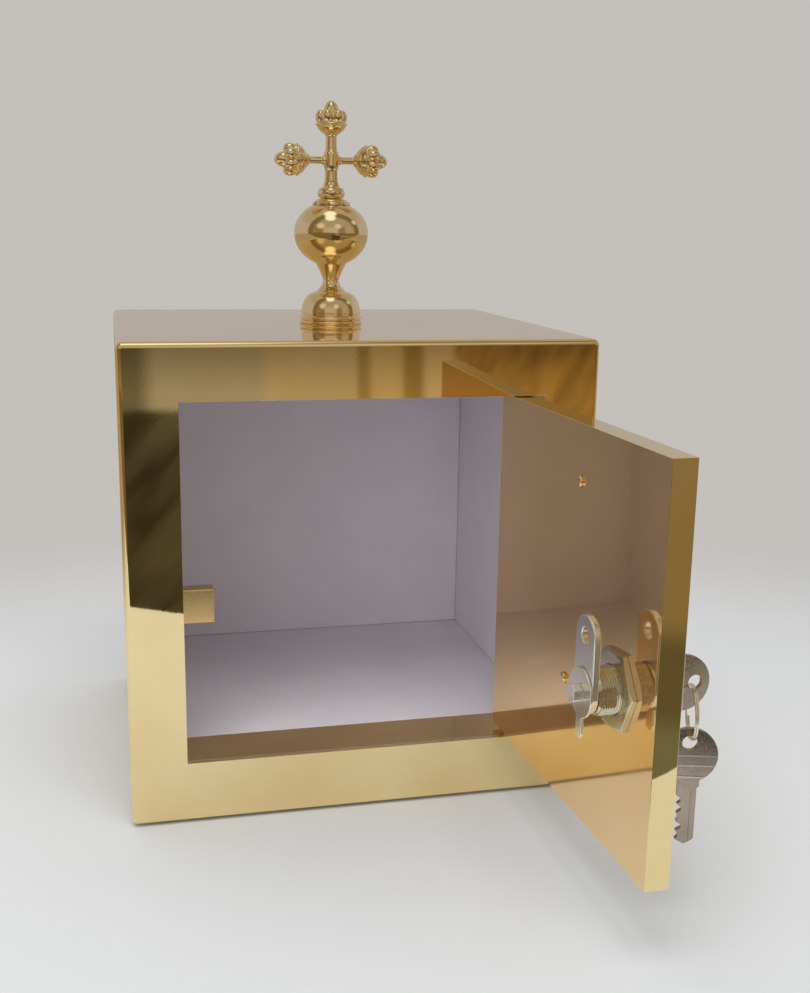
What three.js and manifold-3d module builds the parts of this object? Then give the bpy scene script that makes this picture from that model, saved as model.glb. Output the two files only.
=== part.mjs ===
// Small tabernacle of polished brass: a box with an inset door on pins, a cam lock with its key,
// and a finial of foot, ball, cap and budded cross.
// Millimetres. +Z up, the front faces -Y. The origin is under the middle of the box,
// on the surface it stands on.

import * as THREE from 'three';
import { mergeVertices } from 'three/addons/utils/BufferGeometryUtils.js';
import Module from 'manifold-3d';

const wasm = await Module();
wasm.setup();

// Box
const WIDTH = 228.6;
const HEIGHT = 232.4;
const DEPTH = 203.2;
const SHEET = 2;
const EDGE_RADIUS = 3;
const FRONT_THICKNESS = 3.2;
const FRONT_ROUNDOVER = 2.6;
const SEAM = 0.05;

// Felt under the box
const FELT_THICKNESS = 1.2;
const FELT_INSET = 5;

// Door opening in the front
const STILE = 27;
const TOP_RAIL = 27;
const BOTTOM_RAIL = 30;
const REVEAL_DEPTH = 31;
const REVEAL_FLANGE = 12;
const FLANGE_THICKNESS = 1.5;

// Lining boards
const BOARD = 5;
const BOARD_GAP = 0.1;
const LINING_HALF_WIDTH = 100.8;
const LINING_FLOOR = BOTTOM_RAIL - 2.5;
const LINING_CEILING = HEIGHT - TOP_RAIL + 3;
const LINING_BACK = 192;
const BATTEN_WIDTH = 20;

// Back panel with its corner lugs and screws
const BACK_RECESS = 2;
const LUG = 11;
const LUG_DEPTH = 12;
const SCREW_RADIUS = 1.7;
const SCREW_HOLE_RADIUS = 1.85;

// Door leaf, measured from its pivot
const DOOR_THICKNESS = 10.65;
const DOOR_REACH = 163.5;
const DOOR_TAIL = 9.7;
const DOOR_TAIL_FILLET = 3;
const DOOR_TOP_GAP = 0.6;
const DOOR_BOTTOM_GAP = 3;
const DOOR_RECESS = 0.9;
const PIVOT_TO_JAMB = 10.5;
const DOOR_OPEN_ANGLE = 92.3;
const PIN_RADIUS = 1.95;
const PIN_DEPTH = 14;
const BUSH_RADIUS = 2.95;
const BUSH_LENGTH = 7;

// Lock
const LOCK_REACH = 130.5;
const LOCK_HEIGHT = 104.8;
const BARREL_RADIUS = 10;
const BARREL_BORE = 6.6;
const BARREL_FLANGE_RADIUS = 11.3;
const BARREL_FLANGE = 3.6;
const BARREL_BEHIND_DOOR = 11.9;
const PLUG_RADIUS = 6.35;
const NUT_ACROSS_FLATS = 31.2;
const NUT_THICKNESS = 2.8;
const NUT_TURN = 25;
const CAM_THICKNESS = 3;
const CAM_HALF_WIDTH = 9;
const CAM_REACH = 32;
const CAM_EYE_RADIUS = 3.4;
const CAM_EYE_HEIGHT = 23.5;
const TAIL_SQUARE = 8;
const TAB_RADIUS = 10.4;
const TAB_THICKNESS = 1.1;
const TAB_TONGUE_LENGTH = 19.5;
const TAB_TONGUE_HALF_WIDTH = 2.8;
const CAM_SCREW_FLATS = 7;
const CAM_SCREW_HEAD = 4;

// Keys
const KEY_THICKNESS = 2.2;
const KEY_BOW_RADIUS = 12;
const KEY_HOLE_RADIUS = 3.2;
const KEY_HOLE_OFFSET = 5.5;
const KEY_NECK_HALF_WIDTH = 5;
const KEY_NECK_END = 14.4;
const KEY_BLADE_HALF_WIDTH = 4.1;
const KEY_TIP = 39.9;
const KEY_CUT_DEPTHS = [1.5, 2.7, 1.1, 2.3, 1.8];
const KEY_CUT_PITCH = 4;
const KEY_CUT_START = 18;
const RING_RADIUS = 11.3;
const RING_WIRE_RADIUS = 0.9;
const RING_PLAY = 0.2;
const RING_TWIST = -18.3;

// Strike on the left reveal
const STRIKE_WIDTH = 15;
const STRIKE_HEIGHT = 17;
const STRIKE_FRONT = 12.6;
const STRIKE_BACK = 23;
const STRIKE_CHAMFER = 2;
const STRIKE_SCREW_SPACING = 9;

// Cross on the front of the door
const CROSS_CENTRE_REACH = 78.5;
const CROSS_ARM_HEIGHT = 150;
const CROSS_TOP = 190;
const CROSS_FOOT = 72;
const CROSS_HALF_SPAN = 34;
const CROSS_BAR_HALF_WIDTH = 4.6;
const CROSS_LOBE_RADIUS = 5.4;
const CROSS_RELIEF = 2.4;
const CROSS_BEVEL = 0.9;
const STUD_RADIUS = 2.4;
const STUDS = [{ reach: CROSS_CENTRE_REACH, height: 90 }, { reach: 86.5, height: 180.7 }];
const STUD_PROUD = 1.5;

// Finial, heights above the top of the box
const FOOT_RADIUS = 16.9;
const FOOT_BAND = 5.1;
const NECK_RADIUS = 4.3;
const NECK_HEIGHT = 22.9;
const CONE_TOP_RADIUS = 8.2;
const BALL_RADIUS = 19.7;
const BALL_DROP = 17.5;
const BALL_RISE = 16.2;
const BALL_CENTRE = 47.7;
const CAP_KNOB_RADIUS = 7.2;
const CAP_KNOB_HEIGHT = 68;
const CAP_KNOB_HALF_HEIGHT = 2.8;
const CAP_SKIRT_RADIUS = 10;
const CAP_TOP = 73.6;
const CROSSING_HEIGHT = 84.7;
const STEM_RADIUS = 3.4;
const ARM_RADIUS = 1.8;
const BUD_LENGTH = 18.5;
const BUD_RADIUS = 8.3;
const ARM_SPAN = 30.4;
const FINIAL_TOP = 115;
const ROD_RADIUS = 2.4;
const ROD_BORE = 2.55;
const ROD_BELOW = 11;

// Places that follow from the sizes above
const BASE = FELT_THICKNESS + SEAM;
const FRONT = -DEPTH / 2;
const OPENING_HALF = WIDTH / 2 - STILE;
const OPENING_BOTTOM = BASE + BOTTOM_RAIL;
const OPENING_TOP = BASE + HEIGHT - TOP_RAIL;
const PIVOT_X = OPENING_HALF - PIVOT_TO_JAMB;
const PIVOT_Y = FRONT + DOOR_RECESS + DOOR_THICKNESS / 2;
const DOOR_FACE = DOOR_THICKNESS / 2;
const DOOR_BOTTOM = OPENING_BOTTOM + DOOR_BOTTOM_GAP;
const DOOR_TOP = OPENING_TOP - DOOR_TOP_GAP;
const BARREL_END = DOOR_FACE + BARREL_BEHIND_DOOR;
const BARREL_FACE = -DOOR_FACE - SEAM - BARREL_FLANGE;
const CAM_FRONT = BARREL_END + 0.2;
const CAM_BACK = CAM_FRONT + CAM_THICKNESS;
const TAB_FRONT = CAM_BACK + 0.1;
const TAB_BACK = TAB_FRONT + TAB_THICKNESS;
const KEY_BOW_CENTRE = BARREL_FACE - 0.15 - KEY_NECK_END;
const RING_TOP = -KEY_HOLE_RADIUS + RING_WIRE_RADIUS + RING_PLAY;
const RING_BOTTOM = RING_TOP - 2 * RING_RADIUS;
const SPARE_HOLE = RING_BOTTOM + RING_WIRE_RADIUS + RING_PLAY - KEY_HOLE_RADIUS;
const TOP = BASE + HEIGHT;

const ROUND = 28;
const SMALL_ROUND = 14;

const FINISHES = {
  polishedBrass: { color: 0xd9b25c, roughness: 0.12, metalness: 1 },
  satinBrass: { color: 0xa98552, roughness: 0.35, metalness: 1 },
  nickel: { color: 0xc9c8c4, roughness: 0.22, metalness: 1 },
  keySteel: { color: 0x9a9088, roughness: 0.3, metalness: 1 },
  liningCloth: { color: 0xd9d5de, roughness: 0.9, metalness: 0 },
  wood: { color: 0xb08a5c, roughness: 0.8, metalness: 0 },
  felt: { color: 0x3c3330, roughness: 1, metalness: 0 },
};

// Joined and cleaned triangles of a geometry, with the faces pointing out.
function weld(source) {
  const bare = source.clone();
  bare.deleteAttribute('normal');
  bare.deleteAttribute('uv');
  const merged = mergeVertices(bare, 1e-4);
  const corners = merged.index.array;
  const places = merged.attributes.position;
  const kept = [];
  const a = new THREE.Vector3();
  const b = new THREE.Vector3();
  const c = new THREE.Vector3();
  let volume = 0;
  for (let i = 0; i < corners.length; i += 3) {
    const [p, q, r] = [corners[i], corners[i + 1], corners[i + 2]];
    if (p === q || q === r || r === p) continue;
    kept.push(p, q, r);
    a.fromBufferAttribute(places, p);
    b.fromBufferAttribute(places, q);
    c.fromBufferAttribute(places, r);
    volume += a.dot(b.cross(c));
  }
  if (volume < 0) kept.reverse();
  merged.setIndex(kept);
  return merged;
}

function solid(geometry) {
  const welded = weld(geometry);
  return new wasm.Manifold(new wasm.Mesh({
    numProp: 3,
    vertProperties: new Float32Array(welded.attributes.position.array),
    triVerts: new Uint32Array(welded.index.array),
  }));
}

function geometryOf(body) {
  const mesh = body.getMesh();
  const geometry = new THREE.BufferGeometry();
  geometry.setAttribute('position', new THREE.BufferAttribute(mesh.vertProperties, 3));
  geometry.setIndex(new THREE.BufferAttribute(mesh.triVerts, 1));
  return geometry;
}

function join(geometries) {
  return geometryOf(geometries.map(solid).reduce((whole, piece) => whole.add(piece)));
}

function cut(geometry, cutters) {
  return geometryOf(cutters.map(solid).reduce((whole, cutter) => whole.subtract(cutter), solid(geometry)));
}

function keep(geometry, region) {
  return geometryOf(solid(geometry).intersect(solid(region)));
}

function box(x0, x1, y0, y1, z0, z1) {
  const block = new THREE.BoxGeometry(x1 - x0, y1 - y0, z1 - z0);
  return block.translate((x0 + x1) / 2, (y0 + y1) / 2, (z0 + z1) / 2);
}

function rectangle(x0, x1, z0, z1, radius) {
  const outline = new THREE.Shape();
  outline.absarc(x1 - radius, z0 + radius, radius, -Math.PI / 2, 0);
  outline.absarc(x1 - radius, z1 - radius, radius, 0, Math.PI / 2);
  outline.absarc(x0 + radius, z1 - radius, radius, Math.PI / 2, Math.PI);
  outline.absarc(x0 + radius, z0 + radius, radius, Math.PI, 1.5 * Math.PI);
  return outline;
}

function square(x0, x1, z0, z1) {
  return new THREE.Shape([
    new THREE.Vector2(x0, z0),
    new THREE.Vector2(x1, z0),
    new THREE.Vector2(x1, z1),
    new THREE.Vector2(x0, z1),
  ]);
}

function circle(x, z, radius) {
  return new THREE.Shape().absarc(x, z, radius, 0, 2 * Math.PI);
}

function hexagon(acrossFlats) {
  const corners = [];
  for (let i = 0; i < 6; i += 1) {
    const angle = Math.PI / 6 + (i * Math.PI) / 3;
    const radius = acrossFlats / Math.sqrt(3);
    corners.push(new THREE.Vector2(radius * Math.cos(angle), radius * Math.sin(angle)));
  }
  return new THREE.Shape(corners);
}

// A plate whose outline is drawn in X and Z, between two depths in Y.
function plate(outline, yFront, yBack, curveSegments = 4, bevel = {}) {
  const options = { depth: yBack - yFront, bevelEnabled: false, curveSegments, ...bevel };
  return new THREE.ExtrudeGeometry(outline, options).rotateX(Math.PI / 2).translate(0, yBack, 0);
}

function turned(profile, segments = ROUND) {
  return new THREE.LatheGeometry(profile.map(([r, h]) => new THREE.Vector2(r, h)), segments);
}

function upright(profile, segments = ROUND) {
  return turned(profile, segments).rotateX(Math.PI / 2);
}

function rod(radius, from, to, segments = SMALL_ROUND) {
  return turned([[0, from], [radius, from], [radius, to], [0, to]], segments);
}

function uprightBore(radius, z0, z1) {
  return upright([[0, z0], [radius, z0], [radius, z1], [0, z1]], SMALL_ROUND);
}

function bow(count, from, to, place) {
  const points = [];
  for (let i = 0; i <= count; i += 1) {
    points.push(place(from + ((to - from) * i) / count));
  }
  return points;
}

function add(parent, name, geometry, finish) {
  const shown = geometry.index ? geometry.toNonIndexed() : geometry;
  shown.computeVertexNormals();
  const mesh = new THREE.Mesh(shown, new THREE.MeshStandardMaterial({ ...FINISHES[finish] }));
  mesh.name = name;
  parent.add(mesh);
  return mesh;
}

// Case

function caseWrap() {
  const outer = rectangle(-WIDTH / 2, WIDTH / 2, BASE, TOP, EDGE_RADIUS);
  outer.holes.push(square(-WIDTH / 2 + SHEET, WIDTH / 2 - SHEET, BASE + SHEET, TOP - SHEET));
  const tube = plate(outer, FRONT + FRONT_THICKNESS + SEAM, DEPTH / 2);
  return cut(tube, [uprightBore(ROD_BORE, TOP - 10, TOP + 10)]);
}

function frontPlate() {
  const outline = rectangle(-WIDTH / 2, WIDTH / 2, BASE, TOP, EDGE_RADIUS);
  const rounded = plate(outline, FRONT + FRONT_ROUNDOVER, FRONT + 4 * FRONT_THICKNESS, 4, {
    bevelEnabled: true,
    bevelThickness: FRONT_ROUNDOVER,
    bevelSize: FRONT_ROUNDOVER,
    bevelOffset: -FRONT_ROUNDOVER,
    bevelSegments: 4,
  });
  const front = keep(rounded, box(-WIDTH, WIDTH, FRONT - 1, FRONT + FRONT_THICKNESS, 0, 2 * HEIGHT));
  return cut(front, [box(-OPENING_HALF, OPENING_HALF, FRONT - 5, 0, OPENING_BOTTOM, OPENING_TOP)]);
}

function pivotBore(radius) {
  return uprightBore(radius, 0, 2 * HEIGHT).translate(PIVOT_X, PIVOT_Y, 0);
}

function strikeScrewHeights() {
  const middle = BASE + LOCK_HEIGHT;
  return [middle - STRIKE_SCREW_SPACING / 2, middle + STRIKE_SCREW_SPACING / 2];
}

function alongX(profile, y, z) {
  return turned(profile, SMALL_ROUND).rotateZ(-Math.PI / 2).translate(0, y, z);
}

function strikeBores(radius) {
  const y = FRONT + (STRIKE_FRONT + STRIKE_BACK) / 2;
  const x0 = -OPENING_HALF - 10;
  const x1 = -OPENING_HALF + 40;
  return strikeScrewHeights().map((z) => alongX([[0, x0], [radius, x0], [radius, x1], [0, x1]], y, z));
}

// A frame of one width all round the door opening.
function openingFrame(width) {
  const frame = square(
    -OPENING_HALF - width, OPENING_HALF + width, OPENING_BOTTOM - width, OPENING_TOP + width,
  );
  frame.holes.push(square(-OPENING_HALF, OPENING_HALF, OPENING_BOTTOM, OPENING_TOP));
  return frame;
}

function doorCasing() {
  const back = FRONT + REVEAL_DEPTH;
  const whole = join([
    plate(openingFrame(SHEET), FRONT + FRONT_THICKNESS + SEAM, back),
    plate(openingFrame(REVEAL_FLANGE), back - FLANGE_THICKNESS, back),
  ]);
  return cut(whole, [pivotBore(BUSH_RADIUS + SEAM), ...strikeBores(SCREW_RADIUS + SEAM)]);
}

function lugCentres() {
  const x = WIDTH / 2 - SHEET - SEAM - LUG / 2;
  const low = BASE + SHEET + SEAM + LUG / 2;
  const high = TOP - SHEET - SEAM - LUG / 2;
  return [[-x, low], [x, low], [x, high], [-x, high]];
}

const PANEL_BACK = DEPTH / 2 - BACK_RECESS;
const PANEL_FRONT = PANEL_BACK - SHEET;

function lugBore(x, z, radius) {
  return rod(radius, PANEL_FRONT - 40, DEPTH).translate(x, 0, z);
}

function backPanel() {
  const inner = SHEET + 2 * SEAM;
  const half = WIDTH / 2 - inner;
  const panel = box(-half, half, PANEL_FRONT, PANEL_BACK, BASE + inner, TOP - inner);
  return cut(panel, lugCentres().map(([x, z]) => lugBore(x, z, SCREW_HOLE_RADIUS)));
}

function cornerLug([x, z]) {
  const back = PANEL_FRONT - SEAM;
  const block = box(x - LUG / 2, x + LUG / 2, back - LUG_DEPTH, back, z - LUG / 2, z + LUG / 2);
  return cut(block, [lugBore(x, z, SCREW_HOLE_RADIUS)]);
}

function panScrew(length, headRadius, headHeight) {
  return turned([
    [0, -length],
    [SCREW_RADIUS, -length],
    [SCREW_RADIUS, SEAM],
    [headRadius, SEAM],
    [headRadius, headHeight * 0.55],
    [headRadius * 0.6, headHeight],
    [0, headHeight],
  ], 12);
}

function backPanelScrew([x, z]) {
  return panScrew(11, 3.4, 1.9).translate(x, PANEL_BACK, z);
}

function liningBoard(x0, x1, y0, y1, z0, z1) {
  return box(x0, x1, FRONT + y0, FRONT + y1, BASE + z0, BASE + z1);
}

const LINING_START = REVEAL_DEPTH + BOARD_GAP;
const LINING_END = LINING_BACK + BOARD;
const LINING_OUT = LINING_HALF_WIDTH + BOARD;

function sideBoard(side) {
  const inner = side * LINING_HALF_WIDTH;
  const outer = side * LINING_OUT;
  return liningBoard(
    Math.min(inner, outer), Math.max(inner, outer), LINING_START, LINING_END,
    LINING_FLOOR + BOARD_GAP, LINING_CEILING - BOARD_GAP,
  );
}

function flatBoard(z0, z1) {
  return liningBoard(-LINING_OUT, LINING_OUT, LINING_START, LINING_END, z0, z1);
}

function backBoard() {
  const half = LINING_HALF_WIDTH - BOARD_GAP;
  return liningBoard(
    -half, half, LINING_BACK, LINING_END, LINING_FLOOR + BOARD_GAP, LINING_CEILING - BOARD_GAP,
  );
}

function floorBearer(side) {
  const x = (side * LINING_HALF_WIDTH) / 2;
  return liningBoard(
    x - BATTEN_WIDTH / 2, x + BATTEN_WIDTH / 2, LINING_START + LUG, LINING_END - LUG,
    SHEET + SEAM, LINING_FLOOR - BOARD - SEAM,
  );
}

function sideBatten(side, y) {
  const inner = side * (LINING_OUT + SEAM);
  const outer = side * (WIDTH / 2 - SHEET - SEAM);
  return liningBoard(
    Math.min(inner, outer), Math.max(inner, outer), y, y + BATTEN_WIDTH, LINING_FLOOR, LINING_CEILING,
  );
}

function strikeBlock() {
  const x0 = -OPENING_HALF + SEAM;
  const x1 = x0 + STRIKE_WIDTH;
  const y0 = FRONT + STRIKE_FRONT;
  const y1 = FRONT + STRIKE_BACK;
  const z0 = BASE + LOCK_HEIGHT - STRIKE_HEIGHT / 2;
  const z1 = z0 + STRIKE_HEIGHT;
  const side = new THREE.Shape([
    new THREE.Vector2(y0 + 0.6, z0),
    new THREE.Vector2(y1, z0),
    new THREE.Vector2(y1, z1 - 2 * STRIKE_CHAMFER),
    new THREE.Vector2(y1 - STRIKE_CHAMFER, z1),
    new THREE.Vector2(y0 + 0.6, z1),
    new THREE.Vector2(y0, z1 - 0.6),
    new THREE.Vector2(y0, z0 + 0.6),
  ]);
  const block = sideways(side, x0, x1);
  const recesses = strikeScrewHeights().map((z) => alongX(
    [[0, x1 - 2], [3.1, x1 - 2], [3.1, x1 + 5], [0, x1 + 5]], (y0 + y1) / 2, z,
  ));
  return cut(block, [...strikeBores(SCREW_HOLE_RADIUS), ...recesses]);
}

// A shape drawn in Y and Z, extruded along X between two places.
function sideways(outline, x0, x1, options = {}) {
  const turn = new THREE.Matrix4().makeBasis(
    new THREE.Vector3(0, 1, 0), new THREE.Vector3(0, 0, 1), new THREE.Vector3(1, 0, 0),
  );
  const extruded = new THREE.ExtrudeGeometry(outline, { depth: x1 - x0, bevelEnabled: false, ...options });
  return extruded.applyMatrix4(turn).translate(x0, 0, 0);
}

function strikeScrew(z) {
  const y = FRONT + (STRIKE_FRONT + STRIKE_BACK) / 2;
  const headSeat = -OPENING_HALF + SEAM + STRIKE_WIDTH - 2 + SEAM;
  return alongX([
    [0, -OPENING_HALF - 5],
    [SCREW_RADIUS - 0.1, -OPENING_HALF - 5],
    [SCREW_RADIUS - 0.1, headSeat],
    [2.9, headSeat],
    [2.9, headSeat + 1],
    [2, headSeat + 1.7],
    [0, headSeat + 1.7],
  ], y, z);
}

function pivotBushUpper() {
  const z0 = OPENING_TOP;
  const bore = PIN_RADIUS + 0.1;
  const sleeve = upright([
    [bore, z0], [BUSH_RADIUS, z0], [BUSH_RADIUS, z0 + BUSH_LENGTH], [bore, z0 + BUSH_LENGTH], [bore, z0],
  ], SMALL_ROUND);
  return sleeve.translate(PIVOT_X, PIVOT_Y, 0);
}

function pivotBushLower() {
  const z1 = OPENING_BOTTOM + SEAM;
  const z0 = z1 - BUSH_LENGTH;
  const collar = z1 + DOOR_BOTTOM_GAP - 0.2;
  const bore = PIN_RADIUS + 0.1;
  const sleeve = upright([
    [bore, z0], [BUSH_RADIUS, z0], [BUSH_RADIUS, z1], [4.3, z1], [4.3, collar], [bore, collar], [bore, z0],
  ], SMALL_ROUND);
  return sleeve.translate(PIVOT_X, PIVOT_Y, 0);
}

function baseFelt() {
  const x = WIDTH / 2 - FELT_INSET;
  const y = DEPTH / 2 - FELT_INSET;
  return new THREE.ExtrudeGeometry(rectangle(-x, x, -y, y, 4), {
    depth: FELT_THICKNESS, bevelEnabled: false, curveSegments: 4,
  });
}

// Finial

function finialFoot() {
  const domeBase = FOOT_BAND + 0.7;
  const shoulder = 16.6;
  const domeTop = 8;
  const dome = bow(7, 0, Math.PI / 2, (swing) => [
    domeTop + (FOOT_RADIUS - 1.2 - domeTop) * Math.cos(swing),
    domeBase + (shoulder - domeBase) * Math.sin(swing),
  ]);
  const throat = bow(5, 0, 1, (t) => [
    NECK_RADIUS + 3.5 * (1 - t) ** 1.9, shoulder + 0.4 + (NECK_HEIGHT - shoulder - 0.4) * t,
  ]);
  return upright([
    [ROD_BORE, SEAM],
    [FOOT_RADIUS, SEAM],
    [FOOT_RADIUS, 1.9],
    [FOOT_RADIUS - 0.7, 2.4],
    [FOOT_RADIUS, 2.9],
    [FOOT_RADIUS, FOOT_BAND],
    [FOOT_RADIUS - 1.3, FOOT_BAND + 0.2],
    ...dome,
    ...throat,
    [ROD_BORE, NECK_HEIGHT],
    [ROD_BORE, SEAM],
  ]);
}

function finialBall() {
  const start = Math.asin((BALL_CENTRE - 32.3) / BALL_DROP);
  const end = Math.acos(ROD_BORE / BALL_RADIUS);
  const shell = bow(14, -start, end, (angle) => [
    BALL_RADIUS * Math.cos(angle), BALL_CENTRE + (angle < 0 ? BALL_DROP : BALL_RISE) * Math.sin(angle),
  ]);
  const cone = bow(3, 0, 1, (t) => [
    NECK_RADIUS + (CONE_TOP_RADIUS - NECK_RADIUS) * t ** 1.3, NECK_HEIGHT + SEAM + (31.8 - NECK_HEIGHT) * t,
  ]);
  return upright([[ROD_BORE, NECK_HEIGHT + SEAM], ...cone, ...shell, [ROD_BORE, NECK_HEIGHT + SEAM]]);
}

function finialCap() {
  const knob = bow(6, -0.42 * Math.PI, 0.42 * Math.PI, (angle) => [
    5.2 + (CAP_KNOB_RADIUS - 5.2) * Math.cos(angle),
    CAP_KNOB_HEIGHT + CAP_KNOB_HALF_HEIGHT * Math.sin(angle),
  ]);
  const body = upright([
    [2.2, 58],
    [CAP_SKIRT_RADIUS - 0.2, 58],
    [CAP_SKIRT_RADIUS, 62.6],
    [CAP_SKIRT_RADIUS - 0.5, 63.4],
    [CAP_SKIRT_RADIUS - 1.4, 64.3],
    [CAP_SKIRT_RADIUS - 3.2, 65],
    ...knob,
    [4.4, 71.6],
    [3.7, CAP_TOP],
    [2.2, CAP_TOP],
    [2.2, 58],
  ]);
  const clearance = 0.3;
  const ball = new THREE.SphereGeometry(1, ROUND, 20).rotateX(Math.PI / 2);
  ball.scale(BALL_RADIUS + clearance, BALL_RADIUS + clearance, BALL_RISE + clearance);
  ball.translate(0, 0, BALL_CENTRE);
  const rodSeat = uprightBore(ROD_BORE, 50, 69);
  return cut(body, [ball, rodSeat, ...scallops()]);
}

// Round bites between the eight points of the cap's skirt.
function scallops() {
  const bites = [];
  for (let i = 0; i < 8; i += 1) {
    const angle = ((i + 0.5) * Math.PI) / 4;
    const bite = upright([[0, 55], [1.5, 55], [1.5, 66], [0, 66]], 8);
    const out = CAP_SKIRT_RADIUS + 0.5;
    bites.push(bite.translate(out * Math.cos(angle), out * Math.sin(angle), 0));
  }
  return bites;
}

function lobe(radius, stretch, x, y, z) {
  const ball = new THREE.SphereGeometry(radius, 8, 6).rotateX(Math.PI / 2);
  return ball.scale(1, 1, stretch).translate(x, y, z);
}

// A budded end along +Z: cup-shaped calyx with a raised rim, four side lobes and a long middle one.
function bud() {
  const calyx = upright([
    [0, -1],
    [ARM_RADIUS, -1],
    [ARM_RADIUS, -0.1],
    [3.1, 0.6],
    [4.5, 1.6],
    [6.6, 3.4],
    [BUD_RADIUS - 0.9, 5],
    [BUD_RADIUS, 6.2],
    [BUD_RADIUS, 7.2],
    [BUD_RADIUS - 1, 8],
    [0, 10],
  ], SMALL_ROUND);
  const middle = lobe(4.2, 1.45, 0, 0, BUD_LENGTH - 4.2 * 1.45);
  const sides = [];
  for (let i = 0; i < 4; i += 1) {
    const angle = (i * Math.PI) / 2;
    sides.push(lobe(3.5, 1.1, 5.3 * Math.cos(angle), 5.3 * Math.sin(angle), 9.9));
  }
  return join([calyx, middle, ...sides]);
}

function finialCross() {
  const stem = upright([
    [0, CAP_TOP - 4.4],
    [2, CAP_TOP - 4.4],
    [2, CAP_TOP + SEAM],
    [STEM_RADIUS + 0.3, CAP_TOP + SEAM],
    [STEM_RADIUS, CAP_TOP + 3],
    [STEM_RADIUS, CROSSING_HEIGHT - 5],
    [STEM_RADIUS + 0.5, CROSSING_HEIGHT - 3],
    [STEM_RADIUS + 0.5, CROSSING_HEIGHT + 3],
    [STEM_RADIUS, CROSSING_HEIGHT + 5],
    [STEM_RADIUS - 0.2, FINIAL_TOP - BUD_LENGTH + 1],
    [0, FINIAL_TOP - BUD_LENGTH + 1],
  ], SMALL_ROUND);
  const arms = upright([
    [0, -ARM_SPAN + BUD_LENGTH], [ARM_RADIUS, -ARM_SPAN + BUD_LENGTH],
    [ARM_RADIUS, ARM_SPAN - BUD_LENGTH], [0, ARM_SPAN - BUD_LENGTH],
  ], 12).rotateY(Math.PI / 2).translate(0, 0, CROSSING_HEIGHT);
  const end = bud();
  const top = end.clone().translate(0, 0, FINIAL_TOP - BUD_LENGTH);
  const right = end.clone().rotateY(Math.PI / 2).translate(ARM_SPAN - BUD_LENGTH, 0, CROSSING_HEIGHT);
  const left = end.clone().rotateY(-Math.PI / 2).translate(-ARM_SPAN + BUD_LENGTH, 0, CROSSING_HEIGHT);
  return join([stem, arms, top, right, left]);
}

function tieRod() {
  return upright([[0, -ROD_BELOW], [ROD_RADIUS, -ROD_BELOW], [ROD_RADIUS, 68.5], [0, 68.5]], SMALL_ROUND);
}

function tieWasher() {
  const z1 = -SHEET - SEAM;
  const z0 = z1 - 1.5;
  return upright([[ROD_BORE, z0], [8, z0], [8, z1], [ROD_BORE, z1], [ROD_BORE, z0]], 20);
}

function tieNut() {
  const outline = hexagon(8);
  outline.holes.push(circle(0, 0, ROD_BORE));
  const nut = new THREE.ExtrudeGeometry(outline, {
    depth: 4, bevelEnabled: false, curveSegments: SMALL_ROUND,
  });
  return nut.translate(0, 0, -SHEET - 1.5 - 3 * SEAM - 4);
}

// Door, drawn shut with its pivot at the origin of its group

function doorLeaf() {
  const chamfer = 0.5;
  const fillet = DOOR_TAIL_FILLET;
  const outline = new THREE.Shape();
  outline.moveTo(-DOOR_REACH + chamfer, -DOOR_FACE);
  outline.lineTo(DOOR_TAIL - fillet, -DOOR_FACE);
  outline.absarc(DOOR_TAIL - fillet, -DOOR_FACE + fillet, fillet, -Math.PI / 2, 0);
  outline.lineTo(DOOR_TAIL, DOOR_FACE - chamfer);
  outline.lineTo(DOOR_TAIL - chamfer, DOOR_FACE);
  outline.lineTo(-DOOR_REACH + chamfer, DOOR_FACE);
  outline.lineTo(-DOOR_REACH, DOOR_FACE - chamfer);
  outline.lineTo(-DOOR_REACH, -DOOR_FACE + chamfer);
  const leaf = new THREE.ExtrudeGeometry(outline, {
    depth: DOOR_TOP - DOOR_BOTTOM, bevelEnabled: false, curveSegments: 6,
  }).translate(0, 0, DOOR_BOTTOM);
  const bore = PIN_RADIUS + 0.1;
  const upper = uprightBore(bore, DOOR_TOP - PIN_DEPTH, TOP);
  const lower = uprightBore(bore, 0, DOOR_BOTTOM + PIN_DEPTH);
  const lock = rod(BARREL_RADIUS + 0.2, -20, 20, 24).translate(-LOCK_REACH, 0, BASE + LOCK_HEIGHT);
  const studs = STUDS.map(({ reach, height }) => (
    rod(STUD_RADIUS + 0.1, -20, 20).translate(-reach, 0, BASE + height)
  ));
  return cut(leaf, [upper, lower, lock, ...studs]);
}

function pivotPin(z0, z1) {
  const nose = PIN_RADIUS - 0.6;
  return upright([[0, z0], [PIN_RADIUS, z0], [PIN_RADIUS, z1 - 0.6], [nose, z1], [0, z1]], SMALL_ROUND);
}

function crossBar(x0, x1, z0, z1) {
  const back = -DOOR_FACE - SEAM;
  return plate(square(x0 + CROSS_BEVEL, x1 - CROSS_BEVEL, z0, z1), back - CROSS_RELIEF, back, 4, {
    bevelEnabled: true,
    bevelThickness: CROSS_BEVEL,
    bevelSize: CROSS_BEVEL,
    bevelSegments: 1,
  });
}

function crossLobe(x, z) {
  const back = -DOOR_FACE - SEAM;
  const front = back - CROSS_RELIEF - CROSS_BEVEL;
  return turned([
    [0, front - 0.2],
    [CROSS_LOBE_RADIUS * 0.85, front + 0.6],
    [CROSS_LOBE_RADIUS, front + 1.6],
    [CROSS_LOBE_RADIUS, back],
    [0, back],
  ], SMALL_ROUND).translate(x, 0, z);
}

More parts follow.
